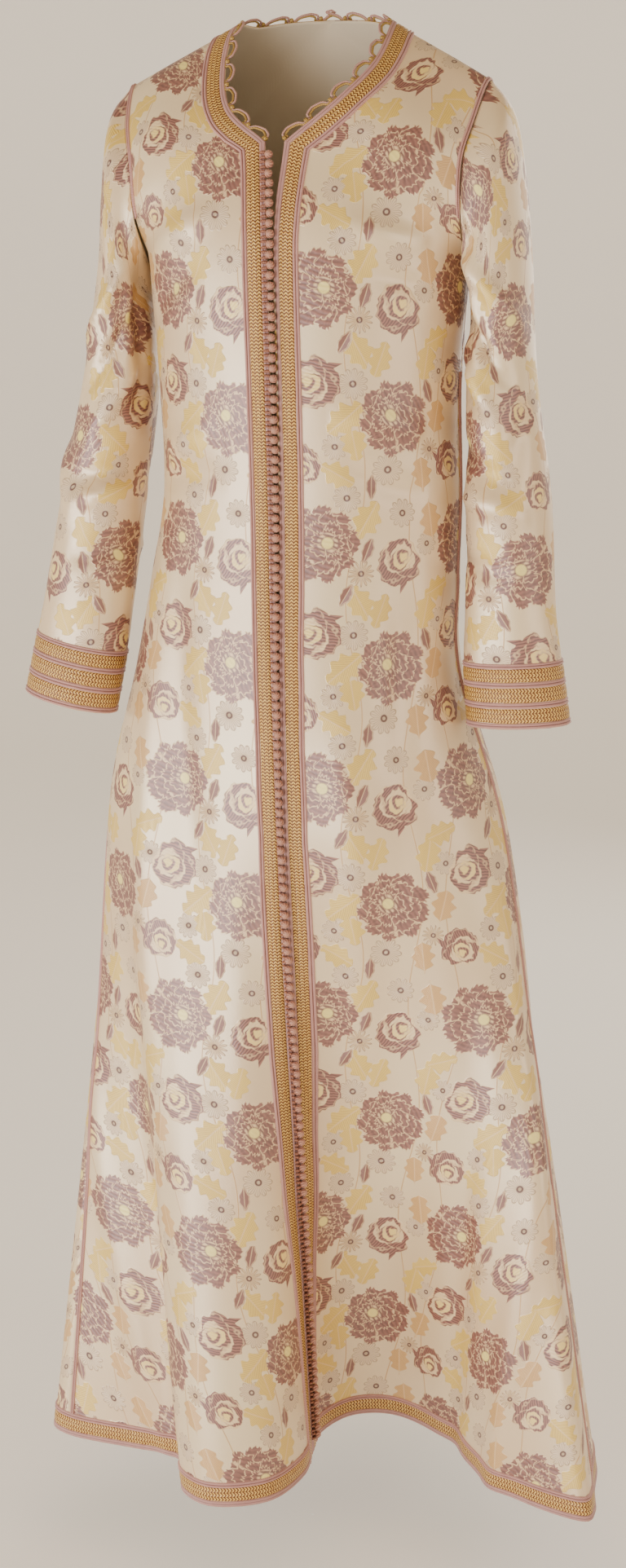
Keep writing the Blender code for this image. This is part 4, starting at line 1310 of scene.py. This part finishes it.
def draw_open_bloom(paint, x, y, silk):
    """A rose seen from the front, its petals laid over each other from the rim to the heart."""
    threads = paint.sine((x * 0.75 - y) * 40.0 + silk * 9.0) * 0.5 + 0.5
    colour, silhouette = None, None
    for size, petals, phase, (off_x, off_y) in PETAL_RINGS:
        over, down = x - off_x, y - off_y
        angle = paint.maths("ARCTAN2", down, over) + (silk - 0.5) * 1.1
        away = paint.maths("SQRT", over * over + down * down) + (silk - 0.5) * 0.28
        lobe = abs(paint.sine(angle * (petals / 2) + phase)) ** 0.5
        jag = paint.sine(angle * (petals * 4.5)) * 0.030
        limit = lobe * (size * 0.22) + jag + size * 0.78
        fill = paint.below(away, limit, 0.03)
        rays = paint.sine(angle * (petals * 4.0)) * 0.5 + 0.5
        tip = paint.maths("POWER", away / limit, 5.0, clamp=True)
        share = paint.maths("MULTIPLY_ADD", tip, 0.30, threads * 0.42 + rays * 0.22, clamp=True)
        petal = paint.mix(share, MAUVE_DARK, MAUVE_LIGHT)
        rim = paint.below(abs(away - limit), 0.018, 0.025)
        vein = paint.below(lobe, 0.30, 0.22) * fill
        edge = paint.maths("MAXIMUM", rim, vein) * 0.85
        colour = petal if colour is None else paint.mix(fill, colour, petal)
        silhouette = fill if silhouette is None else silhouette
        colour = paint.mix(edge, colour, OUTLINE)
    over, down = x - BLOOM_HEART[0], y - BLOOM_HEART[1]
    away = paint.maths("SQRT", over * over + down * down)
    dots = paint.below(abs(away - 0.21), 0.04, 0.04) * threads
    colour = paint.mix(dots, colour, OUTLINE)
    return silhouette, paint.mix(paint.below(away, 0.14, 0.04), colour, HEART), threads


# The curled petals of a half-open rose: each is a round, off_x off_y radius,
# less another round, so that a crescent is left.
CURLED_PETALS = (
    ((0.00, 0.04, 0.86), (0.10, -0.22, 0.74)),
    ((-0.16, 0.02, 0.64), (0.00, -0.10, 0.55)),
    ((0.34, 0.12, 0.50), (0.22, -0.02, 0.42)),
    ((0.06, -0.34, 0.50), (0.06, -0.22, 0.44)),
    ((-0.02, -0.02, 0.40), (0.08, -0.10, 0.33)),
    ((0.16, -0.16, 0.25), (0.22, -0.12, 0.16)),
)
LEAF_TAIL = (0.10, 0.86)


def draw_cupped_bloom(paint, x, y, silk):
    """A half-open rose from the side: curled mauve rims round cream petals and a yellow heart."""
    hatch = paint.sine((x * 0.8 + y) * 44.0 + silk * 10.0) * 0.5 + 0.5
    stray = (silk - 0.5) * 0.5

    def round_of(off_x, off_y, radius):
        over, down = x - off_x, y - off_y
        away = paint.maths("SQRT", over * over + down * down) + stray
        return away, paint.below(away, radius, 0.04)

    _, whole = round_of(0.0, 0.0, 0.84)
    mauve = paint.mix(hatch, MAUVE_DARK, MAUVE_LIGHT)
    cream = paint.mix(hatch * 0.5, OUTLINE, CREAM)
    _, glow = round_of(0.10, -0.05, 0.34)
    colour = paint.mix(glow * 0.7, cream, YELLOW_LIGHT)
    mask = whole
    for outer, inner in CURLED_PETALS:
        away, fill = round_of(*outer)
        _, hollow = round_of(*inner)
        curl = fill * (1 - hollow)
        colour = paint.mix(curl, colour, mauve)
        rim = paint.below(abs(away - outer[2]), 0.02, 0.03)
        colour = paint.mix(rim * 0.6, colour, OUTLINE)
        mask = paint.maths("MAXIMUM", mask, curl)
    over, down = x - LEAF_TAIL[0], y - LEAF_TAIL[1]
    tail = paint.below(abs(over + down * 0.6) * 2.2 + abs(down) * 0.9, 0.30, 0.05)
    colour = paint.mix(tail, colour, mauve)
    return paint.maths("MAXIMUM", mask, tail), colour, hatch


def draw_blooms(paint, place):
    local, _ = nearest(paint, place, BLOOMS)
    x, y, kind = paint.parts(local)
    silk = paint.noise(local, 2.4)
    cupped = paint.maths("GREATER_THAN", kind, 0.5)
    open_mask, open_colour, open_hatch = draw_open_bloom(paint, x, y, silk)
    cup_mask, cup_colour, cup_hatch = draw_cupped_bloom(paint, x, y, silk)
    mask = open_mask + (cup_mask - open_mask) * cupped
    hatch = open_hatch + (cup_hatch - open_hatch) * cupped
    return mask, paint.mix(cupped, open_colour, cup_colour), hatch


# A stem: where it starts across the repeat, how far it swings, its waves and their start.
STEMS = ((.10, .05, 1, 0.4), (.47, .06, 1, 2.2), (.86, .05, 1, 4.0))


def draw_stems(paint, place):
    """Thin stems that wander down the cloth between the motifs."""
    x, y, _ = paint.parts(place)
    found = None
    for start, swing, waves, phase in STEMS:
        bend = paint.sine(y * (2 * math.pi * waves) + phase) * swing + start
        off = abs(paint.maths("FRACT", x - bend + 0.5) - 0.5)
        stem = paint.below(off, 0.0035, 0.004)
        found = stem if found is None else paint.maths("MAXIMUM", found, stem)
    return found


def make_brocade():
    paint = Paint("cream_brocade", Metallic=0.15, IOR=2.1, Sheen_Weight=0.1,
                  Sheen_Roughness=0.4)
    cloth = paint.cloth()
    place = paint.vector("MULTIPLY", cloth, (1 / TILE[0], 1 / TILE[1], 0.0))
    silk = paint.noise(cloth, 120.0)
    colour = paint.mix(paint.below(paint.noise(cloth, 5.0, 1.0), 0.5, 0.4), CREAM, CHAMPAGNE)
    stems = draw_stems(paint, place)
    colour = paint.mix(stems * 0.8, colour, PEACH_DARK)
    raised, relief = stems * 0.5, stems * 0.5
    layers = (draw_daisies(paint, place), draw_leaves(paint, place, silk),
              draw_blooms(paint, place))
    for mask, drawing, hatch in layers:
        colour = paint.mix(mask, colour, drawing)
        raised = paint.maths("MAXIMUM", raised, mask)
        relief = relief + (hatch - relief) * mask
    paint.feed("Base Color", colour)
    u, v, _ = paint.parts(cloth)
    twill = paint.sine((u + v * 0.5) * (2 * math.pi / 0.0011)) * 0.08
    paint.bump(raised * 0.6 + relief * 0.4 * raised + twill, 0.0005)
    paint.feed("Roughness", raised * 0.12 + 0.33)
    return paint.material


# ---- the trims' finishes -------------------------------------------------
def twisted(name, dark, light, pitch, slant, groove=None, **uniform):
    """A twisted silk cord: slanting threads along it, and painted shade in the groove between a pair.
    """
    paint = Paint(name, **uniform)
    along, over, _ = paint.parts(paint.cloth())
    thread = paint.sine((along + over * slant) * (2 * math.pi / pitch)) * 0.5 + 0.5
    worn = paint.noise(paint.cloth(), 90.0)
    share = paint.maths("MULTIPLY_ADD", thread, 0.6, worn * 0.4, clamp=True)
    colour = paint.mix(share, dark, light)
    if groove:
        # painted shade: a dark line down the middle, where the two cords meet and shade falls between
        # them
        seam = paint.below(abs(over - groove), 0.0003, 0.0005)
        colour = paint.mix(seam * 0.75, colour, GROOVE_SHADE)
    paint.feed("Base Color", colour)
    paint.bump(thread, pitch * 0.2)
    return paint.material


BAR_PITCH = 0.0032


def make_gold_braid():
    """Gold thread in short slanting bars over a dark ground."""
    paint = Paint("gold_braid", Roughness=0.34, Metallic=0.12)
    along, over, _ = paint.parts(paint.cloth())
    row = paint.maths("PINGPONG", over, BRAID_WIDTH / 6)
    bars = paint.sine((along + row * 0.9) * (2 * math.pi / BAR_PITCH)) * 0.5 + 0.5
    seam = paint.below(row, 0.0004, 0.0006)
    thread = bars * (1 - seam * 0.6)
    worn = paint.noise(paint.cloth(), 260.0)
    gold = paint.mix(worn, rgb(198, 130, 46), rgb(255, 222, 130))
    share = paint.maths("MULTIPLY_ADD", thread, 2.2, -0.40, clamp=True)
    paint.feed("Base Color", paint.mix(share, rgb(100, 52, 24), gold))
    paint.bump(thread, 0.0006, 0.8)
    return paint.material


def make_button_silk():
    paint = Paint("rose_button_silk", Roughness=0.42, Sheen_Weight=0.2)
    spin, tilt, _ = paint.parts(paint.cloth())
    thread = paint.sine(spin * (2 * math.pi * 7) + tilt * 16.0) * 0.5 + 0.5
    # painted highlight: the crown of each bead, which faces out from the cloth, is lightened
    painted_highlight = paint.below(tilt, 0.22, 0.2)
    colour = paint.mix(thread, rgb(126, 74, 60), rgb(190, 134, 110))
    colour = paint.mix(painted_highlight * 0.3, colour, rgb(206, 156, 130))
    # painted shade: the half of each bead that faces the cloth is painted dark brown
    paint.feed("Base Color", paint.mix(paint.below(tilt, 0.55, 0.2), rgb(70, 34, 28), colour))
    paint.bump(thread, 0.0003)
    return paint.material


def make_lining():
    paint = Paint("champagne_lining", Roughness=0.5, Sheen_Weight=0.2)
    cloth = paint.cloth()
    u, v, _ = paint.parts(cloth)
    twill = paint.sine((u + v * 0.5) * (2 * math.pi / 0.0012)) * 0.5 + 0.5
    paint.feed("Base Color", paint.mix(twill * 0.3 + paint.noise(cloth, 12.0) * 0.5,
                                       rgb(206, 188, 160), rgb(226, 212, 188)))
    paint.bump(twill, 0.0002)
    return paint.material


def make_finishes():
    soft = {"Roughness": 0.5, "Sheen_Weight": 0.2}
    return {
        "brocade": make_brocade(),
        "lining": make_lining(),
        "pink cord": twisted("dusty_pink_cord", rgb(158, 104, 98), rgb(212, 164, 152),
                             0.0016, 1.3, CORD_WIDTH / 2, **soft),
        "silk braid": twisted("dusty_pink_braid", rgb(152, 102, 98), rgb(206, 160, 150),
                              0.0013, -0.9, CORD_WIDTH / 2, **soft),
        "gold braid": make_gold_braid(),
        "loop cord": twisted("rose_brown_cord", rgb(104, 58, 44), rgb(172, 112, 84),
                             0.0016, 0.0016, Roughness=0.5),
        "button silk": make_button_silk(),
        "edging pink": twisted("pink_edging_cord", rgb(150, 104, 98), rgb(206, 164, 150),
                               0.0016, 0.0016, Roughness=0.5),
        "edging gold": twisted("antique_gold_edging", rgb(104, 76, 30), rgb(206, 168, 92),
                               0.0016, 0.0016, Roughness=0.4, Metallic=0.3),
    }


# ---- stage, light and camera ---------------------------------------------
FLOOR_Z = -1.53
STAGE_RADIUS = 5.0
STAGE_BEND = 2.0            # the floor rises into the wall over this
STAGE_WALL = 4.8
ROBE_MIDDLE = (0.0, 0.0, -0.7)
# A softbox: its name, where it stands, its size, its power and its colour.
SOFTBOXES = (
    ("key_light", (-1.5, -2.4, -1.0), (3.0, 1.5), 100.0, (0.98, 0.99, 1.0)),
    ("fill_light", (2.6, -1.0, -0.2), (0.8, 1.6), 14.0, (1.0, 0.95, 0.92)),
    ("back_light", (0.6, 2.6, 0.2), (2.0, 1.6), 22.0, (1.0, 0.98, 0.96)),
)
SKY_PALE, SKY_TAN = rgb(242, 240, 236), rgb(206, 182, 148)
SKY_TAN_FROM = 0.6          # the height on the sky's sphere at which it is tan
SKY_STRENGTH = 0.95
CAMERA_PLACE = (0.702, -2.295, -0.22)
CAMERA_TILT, CAMERA_TURN = 78, 17
CAMERA_LENS, CAMERA_WIDTH = 56.13, 36.0


def make_stage():
    """A pale floor that rises all round into a wall."""
    bend = np.linspace(0, math.pi / 2, 12)[1:]
    profile = [(0.001, 0.0), (STAGE_RADIUS, 0.0)]
    profile += [(STAGE_RADIUS + STAGE_BEND * math.sin(a), STAGE_BEND * (1 - math.cos(a)))
                for a in bend]
    profile.append((STAGE_RADIUS + STAGE_BEND, STAGE_WALL))
    turns = np.linspace(0, 2 * math.pi, 65)
    points = np.array([[(r * math.cos(a), r * math.sin(a), FLOOR_Z + z) for a in turns]
                       for r, z in profile])
    piece = Piece()
    piece.add(points, points[..., :2])
    paint = Paint("pale_floor", Roughness=0.85, Emission_Color=rgb(250, 245, 236),
                  Emission_Strength=0.25)
    grain = paint.noise(paint.cloth(), 3.0)
    paint.feed("Base Color", paint.mix(grain, rgb(243, 238, 229), rgb(247, 242, 233)))
    mesh = piece.mesh("floor", paint.material)
    mesh.shade_smooth()
    show("floor", mesh)


def add_softbox(name, place, size, power, colour):
    lamp = bpy.data.lights.new(name, 'AREA')
    lamp.shape = 'RECTANGLE'
    lamp.size, lamp.size_y = size
    lamp.energy = power
    lamp.color = colour
    box = show(name, lamp)
    box.location = place
    run = np.array(ROBE_MIDDLE) - np.array(place)
    flat = math.hypot(run[0], run[1])
    box.rotation_euler = (math.atan2(flat, -run[2]), 0.0, math.atan2(-run[0], run[1]))


def light_stage():
    """Three softboxes, and a sky that is pale at the horizon and tan above."""
    for softbox in SOFTBOXES:
        add_softbox(*softbox)
    world = bpy.data.worlds.new("studio")
    world.use_nodes = True
    sky = Nodes(world.node_tree)
    way = Number(sky, sky.node("TexCoord").outputs["Generated"])
    limits = {"Value": sky.parts(way)[2], "From Min": 0.0, "From Max": SKY_TAN_FROM}
    height = Number(sky, sky.node("MapRange", (), limits).outputs[0])
    background = sky.tree.nodes["Background"]
    sky.tree.links.new(sky.mix(height, SKY_PALE, SKY_TAN).socket, background.inputs["Color"])
    background.inputs["Strength"].default_value = SKY_STRENGTH
    bpy.context.scene.world = world


def place_camera():
    camera = bpy.data.cameras.new("camera")
    camera.lens = CAMERA_LENS
    camera.sensor_width = CAMERA_WIDTH
    eye = show("camera", camera)
    eye.location = CAMERA_PLACE
    eye.rotation_euler = (math.radians(CAMERA_TILT), 0.0, math.radians(CAMERA_TURN))
    bpy.context.scene.camera = eye


def dress():
    finish = make_finishes()
    cloths = make_cloth(finish["brocade"], finish["lining"])
    layers = trim_layers(finish)
    make_front_bands(layers)
    make_neck_band(layers)
    make_hem_band(layers)
    make_cuffs(*layers[1:])
    make_seam_cords(layers[2])
    line = closure_line()
    make_buttons(line, finish["button silk"])
    make_loops(line, finish["loop cord"])
    make_picot(layers[0], finish["edging pink"], finish["edging gold"])


dress()
make_stage()
light_stage()
place_camera()
